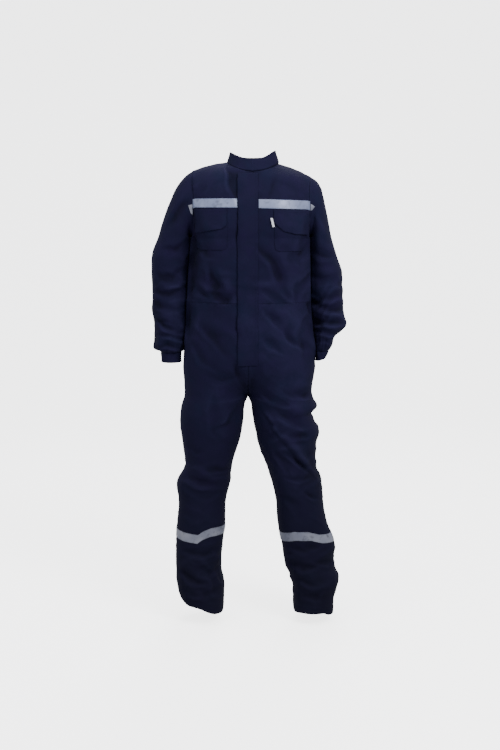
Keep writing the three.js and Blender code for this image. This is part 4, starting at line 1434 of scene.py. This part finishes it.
class Stitches:
    """Collects lines of stitches and makes them one mesh."""

    LENGTH = 2.9
    PITCH = 4.2
    WIDTH = 0.42
    HEIGHT = 0.34
    STAND_OFF = 0.1
    LOOK = 0.6
    SHOULDER = 0.55
    TAPER = 0.8
    CROWN = 1.3
    CORNERS = 10

    def __init__(self, name: str) -> None:
        """Starts with no stitches."""
        self.name = name
        self.rows: list[tuple[Array, Array, Array]] = []

    def add(self, points: Array, normals: Array) -> None:
        """Sews along a line.

        Args:
            points: the line, in millimetres.
            normals: the cloth's outward normals along it.
        """
        steps = np.linalg.norm(np.diff(points, axis=0), axis=1)
        reached = np.concatenate([[0], np.cumsum(steps)])
        count = int(reached[-1] / self.PITCH)
        if count < 1:
            return
        at = (np.arange(count) + 0.5) * reached[-1] / count
        up = unit(along(at, reached, normals))
        run = unit(along(at + self.LOOK, reached, points) - along(at - self.LOOK, reached, points))
        centre = along(at, reached, points) + up * self.STAND_OFF
        self.rows.append((centre, run, unit(up - run * np.sum(up * run, -1, keepdims=True))))

    def build(self, finish: ThreadFinish) -> None:
        """Makes the stitches one object, each with two ends and two rings of four corners."""
        centre, run, up = map(np.concatenate, zip(*self.rows))
        half, wide = run * self.LENGTH / 2, np.cross(run, up) * self.WIDTH / 2 * self.TAPER
        high = up * self.HEIGHT / 2
        rings = []
        for at in (-self.SHOULDER, self.SHOULDER):
            middle = centre + half * at
            top, low = middle + high * self.CROWN * self.TAPER, middle - high * self.TAPER
            rings += [middle + wide, top, middle - wide, low]
        corners = [centre - half - high * 0.5, *rings, centre + half - high * 0.5]
        faces = []
        for k in range(4):
            n = (k + 1) % 4
            faces += [(0, 1 + n, 1 + k, -1), (9, 5 + k, 5 + n, -1), (1 + k, 1 + n, 5 + n, 5 + k)]
        start = self.CORNERS * np.arange(len(centre))
        cells = [[tuple(c + s for c in face if c >= 0) for face in faces] for s in start.tolist()]
        points = np.stack(corners, 1).reshape(-1, 3) * MM
        made = add_mesh(self.name, points, [c for cell in cells for c in cell], finish.material())
        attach(made, "root")
        log.info("%s: %d stitches", self.name, len(centre))


@dataclass(frozen=True)
class Cut:
    """The cloth of a piece: flat width and length and area in metres, how it is held, its wall in mm."""

    flat: tuple[float, float]
    area: float
    wall: float = 1.3
    held: str = "draped"


class Tailor:
    """Turns sheets into pieces with thickness, finish and a place in the suit."""

    def __init__(self) -> None:
        """Starts with no finishes made."""
        self.finishes: dict[str, bpy.types.Material] = {}
        self.triangles = 0

    def piece(self, name: str, sheet: Sheet, finish: Finish, cut: Cut, replaces: Sequence[str]) -> None:
        """Makes one piece of cloth, riding on the suit.

        Args:
            name: the piece's name.
            sheet: its outer surface.
            finish: what it is made of.
            cut: its cloth.
            replaces: the solids that it stands for.
        """
        count = sheet.relief.size
        outer = sheet.points.reshape(-1, 3)
        inner = outer - sheet.normals.reshape(-1, 3) * cut.wall
        skin = grid_quads(*sheet.relief.shape, sheet.turn, sheet.closed)
        number = np.arange(count).reshape(sheet.relief.shape)
        loop = np.concatenate([number, number[:, :1]], 1) if sheet.closed else number
        edges = [loop[0, ::-1], loop[-1]]
        if not sheet.closed:
            edges += [number[:, 0], number[::-1, -1]]
        rims = [np.stack([e[:-1], e[1:], e[1:] + count, e[:-1] + count], -1) for e in edges]
        rim = np.concatenate(rims)[:, :: 1 if sheet.turn > 0 else -1]
        faces = np.concatenate([skin, skin[:, ::-1] + count, rim])
        if finish.name not in self.finishes:
            self.finishes[finish.name] = finish.material()
        points = np.concatenate([outer, inner]) * MM
        made = add_mesh(name, points, faces.tolist(), self.finishes[finish.name])
        mesh = made.data
        shade(mesh, np.arange(len(faces)) < 2 * len(skin))
        flat = np.tile(np.stack(sheet.lengths(), -1).reshape(-1, 2) * MM, (2, 1))
        corner = np.zeros(len(mesh.loops), np.int32)
        mesh.loops.foreach_get("vertex_index", corner)
        layer = mesh.uv_layers.new(name="cloth")
        layer.data.foreach_set("uv", flat[corner].astype(np.float32).ravel())
        for key, values in (("relief", sheet.relief), ("rub", sheet.rub)):
            attribute = mesh.attributes.new(key, "FLOAT", "POINT")
            attribute.data.foreach_set("value", np.tile(values.ravel(), 2).astype(np.float32))
        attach(made, "root")
        if replaces:
            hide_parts(*replaces)
        self.triangles += 2 * len(faces)
        log.info("%s: %d faces", name, len(faces))


@dataclass(frozen=True)
class Plan:
    """How a panel of the folded cloth is finished as a piece.

    waist is an edge at the waist, where the seam is pressed flat. opened edges are drawn back too.
    """

    name: str
    panel: str
    replaces: tuple[str, ...]
    cut: Cut
    seams: Edges
    sewn: Sewing
    hems: Edges = ()
    hem: float = 22
    waist: Edge | None = None
    opened: Edges = ()


def plans() -> list[Plan]:
    """The plans of all panels, in the order of sewing."""
    sides = ("right", "left")
    made = []
    for side in sides:
        name = f"bodice_front_{side}"
        sewn = ((TOP, DOUBLE), (BOTTOM, SINGLE))
        cut = Cut((0.30, 0.47), 0.105)
        made.append(Plan(name, name, (name,), cut, (START, END, TOP, BOTTOM), sewn, waist=BOTTOM))
    for side in sides:
        name, stands_for = f"bodice_back_{side}", ("bodice_back",) if side == "right" else ()
        sewn = ((TOP, DOUBLE), (END, DOUBLE))
        cut = Cut((0.30, 0.50), 0.115)
        made.append(
            Plan(name, f"back_half_{side}", stands_for, cut, (END, TOP, BOTTOM), sewn, waist=BOTTOM)
        )
    for face, outer in (("front", END), ("back", START)):
        for side in sides:
            name = f"trouser_{face}_{side}"
            sewn = ((outer, DOUBLE), (TOP, SINGLE), (BOTTOM, (20.0,)))
            cut = Cut((0.34, 1.08), 0.28)
            made.append(Plan(name, name, (name,), cut, (START, END, TOP), sewn, (BOTTOM,), waist=TOP))
    for side in sides:
        sleeve, cuff = f"sleeve_{side}", f"cuff_{side}"
        cut = Cut((0.48, 0.58), 0.21)
        made.append(Plan(sleeve, sleeve, (sleeve,), cut, (TOP, BOTTOM), ((TOP, DOUBLE),)))
        sewn = ((TOP, (2.4,)), (BOTTOM, (3.0,)))
        cut = Cut((0.24, 0.035), 0.0075, 2.0, "gathered")
        made.append(Plan(cuff, cuff, (cuff,), cut, (TOP,), sewn, (BOTTOM,), 4))
    sewn = ((TOP, (3.5,)), (BOTTOM, (2.4,)), (START, (3.5,)), (END, (3.5,)))
    cut = Cut((0.49, 0.045), 0.019, 2.2, "gathered")
    made.append(
        Plan(
            "collar",
            "collar",
            ("collar",),
            cut,
            (BOTTOM,),
            sewn,
            (TOP, START, END),
            5,
            opened=(START, END),
        )
    )
    return made


@dataclass(frozen=True)
class Patch:
    """A sewn-on piece between an upper and a lower edge, seen from the front, in millimetres.

    layer is how high it lies, swell how full it is, lift how far its free edge stands off.
    """

    name: str
    top: Points
    bottom: Points
    layer: float
    swell: float
    cut: Cut
    sewn: Sewing = ()
    free: Edge | None = None
    lift: float = 0.0
    finish: Finish = TWILL
    thread: ThreadFinish = NAVY_THREAD
    pitch: float = 3.2
    slack: bool = False
    stands_for_solid: bool = True


FLY_SEWING = ((END, (2.2, 8.5)), (START, SINGLE), (BOTTOM, SINGLE))
POCKET_SEWING = tuple((edge, (2.0, 7.6)) for edge in (START, END, BOTTOM))
FLAP_SEWING = ((TOP, (2.0, 7.6)), (START, SINGLE), (END, SINGLE), (BOTTOM, SINGLE))
TAPE_SEWING = tuple((edge, (1.6,)) for edge in (TOP, BOTTOM, START, END))
POCKET = {"layer": 0.4, "swell": 1.4, "cut": Cut((0.105, 0.125), 0.0125, 0.9), "sewn": POCKET_SEWING}
FLAP = {"layer": 2.3, "swell": 1.2, "cut": Cut((0.11, 0.08), 0.0074, 1.0), "sewn": FLAP_SEWING}
FLAP |= {"free": BOTTOM, "lift": 2.4}
TAPE = {"layer": 0.4, "swell": 0.1, "cut": Cut((0.165, 0.028), 0.0044, 0.8), "sewn": TAPE_SEWING}
TAPE |= {"finish": CHEST_TAPE, "thread": GREY_THREAD, "pitch": 2.6}
# The tape ends lie in the gap between sleeve and body and take the darker tape as painted shade.
TAPE_END = {"layer": 0.5, "swell": 0.1, "finish": DARKER_TAPE, "pitch": 1.4, "stands_for_solid": False}
PATCHES = [
    Patch(
        "placket",
        [(-43, -31), (18, -31)],
        [(-43, -617), (18, -617)],
        layer=0.5,
        swell=0.5,
        cut=Cut((0.062, 0.60), 0.0366, 1.0),
        sewn=FLY_SEWING,
        free=START,
        lift=2.6,
        pitch=3.8,
        slack=True,
    ),
    Patch(
        "pocket_right",
        [(-171, -142), (-75, -142)],
        [(-171, -248), (-168, -257), (-157, -262), (-89, -262), (-78, -257), (-75, -248)],
        **POCKET,
    ),
    Patch(
        "pocket_left",
        [(68, -146), (166, -146)],
        [(68, -252), (71, -261), (82, -266), (152, -266), (163, -261), (166, -252)],
        **POCKET,
    ),
    Patch(
        "pocket_flap_right",
        [(-172, -138), (-77, -138)],
        [(-172, -209), (-167, -211), (-94, -198), (-80, -189), (-77, -182)],
        **FLAP,
    ),
    Patch(
        "pocket_flap_left",
        [(66, -141), (169, -143)],
        [(66, -176), (74, -186), (94, -204), (130, -213), (169, -216)],
        **FLAP,
    ),
    Patch(
        "label",
        [(56, -166), (62, -166)],
        [(62, -193), (68.5, -191.5)],
        layer=4.2,
        swell=0.2,
        cut=Cut((0.010, 0.028), 0.00018, 0.6),
        finish=LABEL_FINISH,
        pitch=1.5,
    ),
    Patch(
        "chest_tape_right",
        [(-182, -109), (-172, -107), (-45, -107)],
        [(-182, -137), (-174, -134), (-45, -134)],
        **TAPE,
    ),
    Patch(
        "chest_tape_left",
        [(20, -109), (168, -113), (178, -115)],
        [(20, -136), (169, -140), (178, -143)],
        **TAPE,
    ),
    Patch(
        "chest_tape_end_right",
        [(-197, -127), (-183.5, -124)],
        [(-188.5, -152), (-183, -156)],
        cut=Cut((0.014, 0.03), 0.0003, 0.6),
        **TAPE_END,
    ),
    Patch(
        "chest_tape_end_left",
        [(179.5, -123), (193, -131)],
        [(179.5, -144), (186, -141)],
        cut=Cut((0.014, 0.03), 0.0002, 0.6),
        **TAPE_END,
    ),
]
SHIN_TAPE = 29.0
SHIN_ROUND = 0.53
SHIN_FILL = 0.97
SHIN_LINES = {
    "right": [(-262, -1160), (-215, -1166), (-173, -1171), (-155, -1158), (-130, -1149), (-74, -1149)],
    "left": [(66, -1178), (100, -1172), (135, -1162), (182, -1162), (216, -1173), (272, -1180)],
}
HEM_LIFT = [(-240, 9), (-215, 9), (-189, 17), (-176, 18), (-163, 15), (-150, 8), (-135, 1), (-121, -5)]
HEM_LIFT += [(-90, -10), (135, -10), (152, -3), (166, 0), (232, 0), (250, -10), (272, -16)]


class Suit:
    """The whole suit: one cloth, folded, then parted into its pieces."""

    CALM = 0.5
    HEM_TOP, HEM_REACH = -1370, 66
    FORK_LIFT, FORK_WIDE, FORK_TALL = 13.0, 36, 48
    COLLAR_BASE, COLLAR_TALL, COLLAR_FADE = -20, 50, 60
    TIP_LIFT, TIP_X, TIP_Y, BACK_SINK, BACK_Y = 6, 20, 40, 9, -10
    CONTACT_GAP = 0.3
    CONTACT = 4.5
    CONTACT_END = {Side.RIGHT: -575, Side.LEFT: -612}
    CONTACT_FLAT, CONTACT_START, CONTACT_FADE, CONTACT_TAIL = 1.8, ARMPIT_Z + 3, 4, 24
    SIDE_X = 120
    CUFF_LEAN, LEAN_TOP, LEAN_REACH = 6.0, -520, 60
    FULL_RELIEF = 6.0
    RELIEF_END = 1.2
    GROOVE = 1.15
    GROOVE_WIDTH = 1.5
    FLAT_GROOVE = 0.25
    PUCKER = 0.55
    PUCKER_WAVE = 11.0
    PUCKER_REACH = 11.0
    HEM_STEP = 0.55
    HEM_ROUND = 1.2
    HEM_WAVE, HEM_WAVE_REACH = 15, 9
    RUB_INSET, SEAM_RUB, HEM_RUB = 4, 0.35, 0.9
    SEAM_GAP = 0.03
    NEAR_EDGE = (0.0, 0.24, 0.5)
    EVEN_EDGE = (0.25, 0.55)
    RAY_START, RAY_MISSED = -400, -60
    STAND_OFF = 1.05
    SWELL_REACH = 28
    EDGE_DIP, EDGE_REACH = 0.25, 1.6
    RIPPLE, RIPPLE_WAVE, RIPPLE_REACH = 0.35, 16, 12
    SLACK, SLACK_WAVE, SLACK_DRIFT, DRIFT_WAVE = 0.55, 118, 2.2, 170
    TAPE_LAYER, TAPE_RIPPLE, TAPE_WAVE, TAPE_RUB = 1.5, 0.2, 14, 0.6

    def __init__(self) -> None:
        """Draws, joins and folds the cloth."""
        self.tailor = Tailor()
        self.stitches = {NAVY_THREAD: Stitches("seam_stitching"), GREY_THREAD: Stitches("tape_stitching")}
        self.cloth = Cloth(Pattern().panels())
        self.cloth.press(Folding(self.cloth).total())
        self.cloth.soften(np.full(len(self.cloth.points), self.CALM), 1)
        self.shape_edges()
        for side in Side:
            self.rest_sleeve(side)
        self.normals = self.cloth.normals()
        self.surface = BVHTree.FromPolygons(self.cloth.points.tolist(), self.cloth.quads.tolist())

    def shape_edges(self) -> None:
        """Lifts the hems where they break on the feet and the fork, and lets the collar stand unevenly."""
        x, y, z = self.cloth.points.T.copy()
        on_trousers = self.cloth.part == Part.TROUSERS.value
        near_hem = smooth((self.HEM_TOP - z) / self.HEM_REACH) * on_trousers
        hem = np.interp(x, *zip(*HEM_LIFT)) * near_hem
        z = z + hem
        near_fork = np.exp(
            -(((x - MIDDLE_FORK_X) / self.FORK_WIDE) ** 2) - ((z - FORK_Z) / self.FORK_TALL) ** 2
        )
        z = z + self.FORK_LIFT * near_fork * on_trousers
        up = np.clip((z - self.COLLAR_BASE) / self.COLLAR_TALL, 0, 1)
        left_tip = smooth((x - self.TIP_X) / self.COLLAR_TALL) * smooth((self.TIP_Y - y) / self.COLLAR_FADE)
        sunk = smooth((y - self.BACK_Y) / self.COLLAR_FADE)
        lift = self.TIP_LIFT * left_tip - self.BACK_SINK * sunk
        self.cloth.points[:, 2] = z + lift * up * (self.cloth.part == Part.COLLAR.value)

    def rest_sleeve(self, side: Side) -> None:
        """Lets a sleeve rest flat against the side of the body, with no cloth inside the other.

        Args:
            side: the wearer's side.
        """
        right = side is Side.RIGHT
        column = "right" if right else "left"
        body = [(-r.z, getattr(r, column)) for r in CHEST[::-1]]
        body += [(-r.z, r.out) for r in (RIGHT_HALF if right else LEFT_HALF)[1:5]]
        sleeve = [(-r.inn_z, r.inn_x) for r in (RIGHT_SLEEVE if right else LEFT_SLEEVE)]
        points, part = self.cloth.points, self.cloth.part
        on_sleeve = np.isin(part, [Part.SLEEVE_RIGHT.value, Part.SLEEVE_LEFT.value, Part.CUFF.value])
        if not right:
            lean = self.CUFF_LEAN * smooth((self.LEAN_TOP - points[:, 2]) / self.LEAN_REACH)
            points[:, 0] -= lean * on_sleeve * (points[:, 0] > 0)
        x, z = points[:, 0], points[:, 2]
        between = (np.interp(-z, *zip(*body)) + np.interp(-z, *zip(*sleeve))) / 2
        outward = np.where(on_sleeve, side.value, -side.value)
        away = outward * (x - between) - self.CONTACT_GAP
        flat = away * smooth((away - self.CONTACT) / (self.CONTACT * self.CONTACT_FLAT))
        fade = smooth((self.CONTACT_START - z) / self.CONTACT_FADE)
        fade = fade * smooth((z - self.CONTACT_END[side]) / self.CONTACT_TAIL)
        fade = fade * (x * side.value > self.SIDE_X)
        points[:, 0] = between + outward * (mix(away, flat, fade) + self.CONTACT_GAP)

    def sheet(self, name: str) -> Sheet:
        """A panel of the folded cloth as a sheet."""
        panel, index = self.cloth.panels[name], self.cloth.index[name]
        relief = self.shown_relief(self.cloth.relief[index])
        points, normals = self.cloth.points[index], self.normals[index]
        return Sheet(points, normals, panel.turn, panel.closed, relief, np.zeros(index.shape))

    def shown_relief(self, relief: Array) -> Array:
        """Relief in millimetres as the finish reads it, to paint ridges paler, partly as painted highlight,
        and troughs darker as painted shade.
        """
        return np.clip(relief / self.FULL_RELIEF, -self.RELIEF_END, self.RELIEF_END)

    def seamed(self, plan: Plan) -> Sheet:
        """Gives a panel fine rows at its edges, grooves and puckers at its seams, and turned hems.

        Args:
            plan: the panel's plan.

        Returns:
            The finer sheet.
        """
        sheet = self.sheet(plan.panel)
        fine = sheet.sampled(*(self._steps(count) for count in sheet.relief.shape))
        away = fine.edge_distance(plan.seams)
        groove = self.GROOVE * close_to(away, self.GROOVE_WIDTH)
        if plan.waist is not None:
            others = [s for s in plan.seams if s is not plan.waist]
            flat = fine.edge_distance([plan.waist]) < fine.edge_distance(others)
            groove = np.where(flat, self.FLAT_GROOVE * groove, groove)
        pucker = self.PUCKER * NOISE.at(fine.points + 300, self.PUCKER_WAVE)
        pucker = pucker * np.exp(-away / self.PUCKER_REACH)
        from_hem = fine.edge_distance(plan.hems)
        band = self.HEM_STEP * smooth((plan.hem - from_hem) / self.HEM_ROUND)
        edge = 0.5 * close_to(from_hem, self.HEM_ROUND)
        wave = self.PUCKER * NOISE.at(fine.points + 90, self.HEM_WAVE)
        wave = wave * np.exp(-np.abs(from_hem - plan.hem) / self.HEM_WAVE_REACH)
        push = band - edge + wave - groove + pucker
        fine.points = fine.points + fine.normals * push[..., None]
        # Grooves lower the relief, so the finish paints them darker as painted shade.
        fine.relief = fine.relief + 0.25 * pucker - 0.5 * groove
        seam_rub = self.SEAM_RUB * close_to(away - self.RUB_INSET, 3)
        fine.rub = seam_rub + self.HEM_RUB * close_to(from_hem, 3)
        return self._drawn_back(self._drawn_back(fine, plan.seams), plan.opened)

    def _steps(self, count: int) -> Array:
        """Row or column places with fine ones near both ends."""
        near = np.array(self.NEAR_EDGE)
        return np.concatenate([near, np.arange(1, count - 1), count - 1 - near[::-1]])

    def _drawn_back(self, sheet: Sheet, edges: Sequence[Edge]) -> Sheet:
        """Parts some edges of a sheet a little from their seams."""
        points = sheet.points.copy()
        ends = {
            START: (np.s_[:, 0], np.s_[:, 1]),
            END: (np.s_[:, -1], np.s_[:, -2]),
            TOP: (np.s_[0], np.s_[1]),
            BOTTOM: (np.s_[-1], np.s_[-2]),
        }
        for edge in edges:
            line, next_line = ends[edge]
            points[line] += unit(sheet.points[next_line] - sheet.points[line]) * self.SEAM_GAP
        sheet.points = points
        return sheet

    def sew(self, sheet: Sheet, lines: Sewing, thread: ThreadFinish = NAVY_THREAD) -> None:
        """Sews lines along the edges of a sheet."""
        for edge, insets in lines:
            for inset in insets:
                self.stitches[thread].add(*sheet.line(edge, inset))

    def build(self) -> None:
        """Makes every piece."""
        for plan in plans():
            sheet = self.seamed(plan)
            self.sew(sheet, plan.sewn)
            self.tailor.piece(f"{plan.name}_cloth", sheet, TWILL, plan.cut, plan.replaces)
        for one in PATCHES:
            sheet = self.patch(one)
            self.sew(sheet, one.sewn, one.thread)
            stands_for = (one.name,) if one.stands_for_solid else ()
            self.tailor.piece(f"{one.name}_cloth", sheet, one.finish, one.cut, stands_for)
        for side in SHIN_LINES:
            self.shin_tape(side)
        for thread, lines in self.stitches.items():
            lines.build(thread)

    def laid(self, x: Array, z: Array, lift: Array) -> tuple[Array, Array, Array]:
        """Places outline points on the front of the cloth.

        Args:
            x: their places across, in millimetres.
            z: their heights.
            lift: how far each stands off the cloth.

        Returns:
            The points, and the cloth's normals and relief there.
        """
        points, normals = np.zeros(x.shape + (3,)), np.zeros(x.shape + (3,))
        relief, back = np.zeros(x.shape), Vector((0, 1, 0))
        for k in np.ndindex(x.shape):
            place, facing, cell, _ = self.surface.ray_cast(Vector((x[k], self.RAY_START, z[k])), back)
            if place is None:
                place, facing, cell, _ = self.surface.find_nearest(Vector((x[k], self.RAY_MISSED, z[k])))
            points[k], normals[k] = place, facing
            relief[k] = self.cloth.relief[self.cloth.quads[cell]].mean()
        for _ in range(3):
            pad = np.pad(normals, ((1, 1), (1, 1), (0, 0)), mode="edge")
            beside = pad[2:, 1:-1] + pad[:-2, 1:-1] + pad[1:-1, 2:] + pad[1:-1, :-2]
            normals = unit(2 * normals + beside)
        return points + normals * lift[..., None], normals, self.shown_relief(relief)

    def patch(self, one: Patch) -> Sheet:
        """A sewn-on piece laid on the cloth.

        Args:
            one: the piece.

        Returns:
            Its outer surface.
        """
        top, bottom = np.array(one.top, float), np.array(one.bottom, float)
        width = abs(top[-1, 0] - top[0, 0])
        height = np.mean(top[:, 1]) - np.mean(bottom[:, 1])
        s = self._even(width, one.pitch)
        t = self._even(height, one.pitch)[:, None]
        (x, z), (low_x, low_z) = self._shared_out(top, s), self._shared_out(bottom, s)
        x, z = mix(x, low_x, t), mix(z, low_z, t)
        from_sides, from_ends = np.minimum(s, 1 - s)[None] * width, np.minimum(t, 1 - t) * height
        across = ((1 - s) * width)[None] if one.free is START else from_sides
        down = t * height if one.free is BOTTOM else from_ends
        inside = np.minimum(across, down)
        swell = one.swell * smooth(inside / self.SWELL_REACH)
        swell = swell - self.EDGE_DIP * close_to(inside, self.EDGE_REACH)
        ripple = self.RIPPLE * NOISE.at(np.stack([x, 0 * x, z], -1), self.RIPPLE_WAVE)
        swell = swell + ripple * np.exp(-inside / self.RIPPLE_REACH)
        free = np.zeros_like(x)
        if one.free is BOTTOM:
            uneven = 0.8 + 0.5 * NOISE.at(np.stack([x, z, z], -1), 45)
            free = one.lift * smooth(t * 1.15 - 0.15) * uneven
        if one.free is START:
            free = one.lift * smooth((1 - s) * 1.4 - 0.4)[None]
        points, normals, below = self.laid(x, z, one.layer + self.STAND_OFF + swell + free)
        # The finish paints this relief: full places paler, partly as painted highlight, and low places
        # darker as painted shade.
        relief = np.clip(0.2 * swell + 0.6 * np.maximum(below, -0.3), -0.5, 0.9)
        rub = 0.3 * close_to(np.minimum(from_sides, from_ends), 2.2)
        if one.slack:
            points = points + normals * self._slack(points)[..., None]
        return Sheet(points, normals, -1, False, relief, rub)

    @staticmethod
    def _shared_out(line: Array, share: Array) -> tuple[Array, Array]:
        """Places on an outline at shares of its width."""
        at = (line[:, 0] - line[0, 0]) / (line[-1, 0] - line[0, 0])
        return np.interp(share, at, line[:, 0]), np.interp(share, at, line[:, 1])

    def _even(self, length: float, pitch: float) -> Array:
        """Shares from 0 to 1 at about a pitch, with fine ones near both ends."""
        count = max(2, int(round(length / pitch)))
        near = np.array(self.EVEN_EDGE) / count
        return np.sort(np.concatenate([np.linspace(0, 1, count + 1), near, 1 - near]))

    def _slack(self, points: Array) -> Array:
        """Slow waves along a long band that is a little too long for what it covers."""
        drift = self.SLACK_DRIFT * NOISE.at(points * np.array([0, 0, 1]), self.DRIFT_WAVE)
        return self.SLACK * (1 + np.sin(2 * np.pi * points[..., 2] / self.SLACK_WAVE + drift))

    def shin_tape(self, side: str) -> None:
        """Tape round a shin, level behind with the place where its outline starts in front."""
        front, back = self.sheet(f"trouser_front_{side}"), self.sheet(f"trouser_back_{side}")
        points = np.concatenate([front.points, back.points[:, 1:-1]], 1)
        normals = np.concatenate([front.normals, back.normals[:, 1:-1]], 1)
        outline = np.array(SHIN_LINES[side], float)
        share = self._even(SHIN_TAPE, 3.0)
        rows = np.zeros((len(share), points.shape[1]))
        for i in range(points.shape[1]):
            x, z = points[::-1, i, 0], points[:, i, 2]
            level = np.interp(np.interp(outline[1, 1], z[::-1], x), *outline.T)
            upper = np.interp(np.interp(level, z[::-1], x), *outline.T)
            rows[:, i] = np.interp(-(upper - share * SHIN_TAPE), -z, np.arange(len(z)))
        j, column = np.floor(rows).astype(int), np.arange(points.shape[1])[None]
        f = (rows - j)[..., None]
        laid = mix(points[j, column], points[j + 1, column], f)
        facing = unit(mix(normals[j, column], normals[j + 1, column], f))
        inside = np.minimum(share, 1 - share)[:, None] * SHIN_TAPE + 0 * rows
        lift = self.TAPE_LAYER - self.EDGE_DIP * close_to(inside, 1.4)
        lift = lift + self.TAPE_RIPPLE * NOISE.at(laid, self.TAPE_WAVE)
        rub = self.TAPE_RUB * close_to(inside, 2.0)
        sheet = Sheet(laid + facing * lift[..., None], facing, front.turn, True, 0 * lift, rub)
        self.sew(sheet, ((TOP, (1.6,)), (BOTTOM, (1.6,))), GREY_THREAD)
        cut = Cut((SHIN_ROUND, SHIN_TAPE * MM), SHIN_ROUND * SHIN_TAPE * MM * SHIN_FILL, 0.8)
        self.tailor.piece(f"shin_tape_{side}_cloth", sheet, DARKER_TAPE, cut, (f"shin_tape_{side}",))


@dataclass(frozen=True)
class Lamp:
    """A square soft light that faces the suit: its place and size in metres, its power in watts."""

    name: str
    place: tuple[float, float, float]
    size: float
    power: float


LAMPS = [
    Lamp("key", (1.9, -2.3, 1.9), 1.3, 125),
    Lamp("fill", (-2.7, -2.4, 0.6), 2.2, 34),
    Lamp("top", (-0.3, -0.5, 2.6), 2.0, 60),
    Lamp("back", (0.3, 2.6, 2.6), 1.6, 90),
    Lamp("rim_left", (-2.4, 1.9, 0.9), 1.4, 8),
    Lamp("rim_right", (2.5, 1.7, 0.5), 1.4, 8),
]


@dataclass(frozen=True)
class Studio:
    """A pale sweep of floor and backdrop, soft lights, and the camera. Sizes in metres."""

    floor_z: float = -1.475
    floor_half: float = 7.0
    sweep_back: float = 3.4
    sweep_round: float = 1.6
    sweep_steps: int = 12
    wall_top: float = 6.0
    camera_distance: float = 3.6
    camera_tilt: float = math.radians(8.5)
    target: tuple[float, float, float] = (-0.0064, 0.0, -0.664)
    lens: float = 54.0
    sky: tuple[float, float, float, float] = (0.94, 0.96, 1.0, 1)
    sky_strength: float = 0.8

    def build(self) -> None:
        """Makes the studio."""
        self.camera()
        self.backdrop()
        self.lights()

    def aimed(self, name: str, data: bpy.types.ID, place: Sequence[float]) -> bpy.types.Object:
        """Puts a camera or light in its place, facing the suit."""
        made = bpy.data.objects.new(name, data)
        made.location = place
        made.rotation_euler = (Vector(self.target) - Vector(place)).to_track_quat("-Z", "Y").to_euler()
        bpy.context.scene.collection.objects.link(made)
        return made

    def camera(self) -> None:
        """The camera at the photograph's angle."""
        back = Vector((0, -math.cos(self.camera_tilt), math.sin(self.camera_tilt)))
        data = bpy.data.cameras.new("camera")
        data.lens = self.lens
        data.sensor_width = 36
        place = Vector(self.target) + back * self.camera_distance
        bpy.context.scene.camera = self.aimed("camera", data, place)

    def backdrop(self) -> None:
        """A floor that curves up into a wall. It is seen, but lights nothing."""
        turn = np.linspace(0, math.pi / 2, self.sweep_steps + 1)
        y = self.sweep_back + self.sweep_round * np.sin(turn)
        z = self.sweep_round * (1 - np.cos(turn))
        y = np.concatenate([[-self.floor_half], y, y[-1:]])
        z = np.concatenate([[0], z, [self.wall_top]]) + self.floor_z
        x = np.full(len(y), self.floor_half)
        points = np.stack([np.stack([-x, y, z], -1), np.stack([x, y, z], -1)], 1).reshape(-1, 3)
        faces = [(2 * k, 2 * k + 1, 2 * k + 3, 2 * k + 2) for k in range(len(y) - 1)]
        paper = NodeMaterial("pale_paper")
        paper.surface(Base_Color=(0.86, 0.86, 0.87, 1), Roughness=0.9)
        paper.surface(Emission_Color=(1, 1, 1, 1), Emission_Strength=2.9)
        made = add_mesh("backdrop", points, faces, paper.material)
        made.visible_diffuse = False
        made.visible_glossy = False

    def lights(self) -> None:
        """Soft lights: a large key from the front, a fill, a top light and three from behind."""
        for lamp in LAMPS:
            data = bpy.data.lights.new(lamp.name, "AREA")
            data.size = lamp.size
            data.energy = lamp.power
            self.aimed(lamp.name, data, lamp.place)
        world = bpy.data.worlds.new("studio")
        bpy.context.scene.world = world
        world.use_nodes = True
        background = world.node_tree.nodes["Background"].inputs
        background["Color"].default_value = self.sky
        background["Strength"].default_value = self.sky_strength


def main() -> None:
    """Builds the studio and the suit."""
    logging.basicConfig(level=logging.INFO, format="%(message)s")
    Studio().build()
    suit = Suit()
    suit.build()
    log.info("about %d triangles", suit.tailor.triangles)


if __name__ == "__main__":
    main()
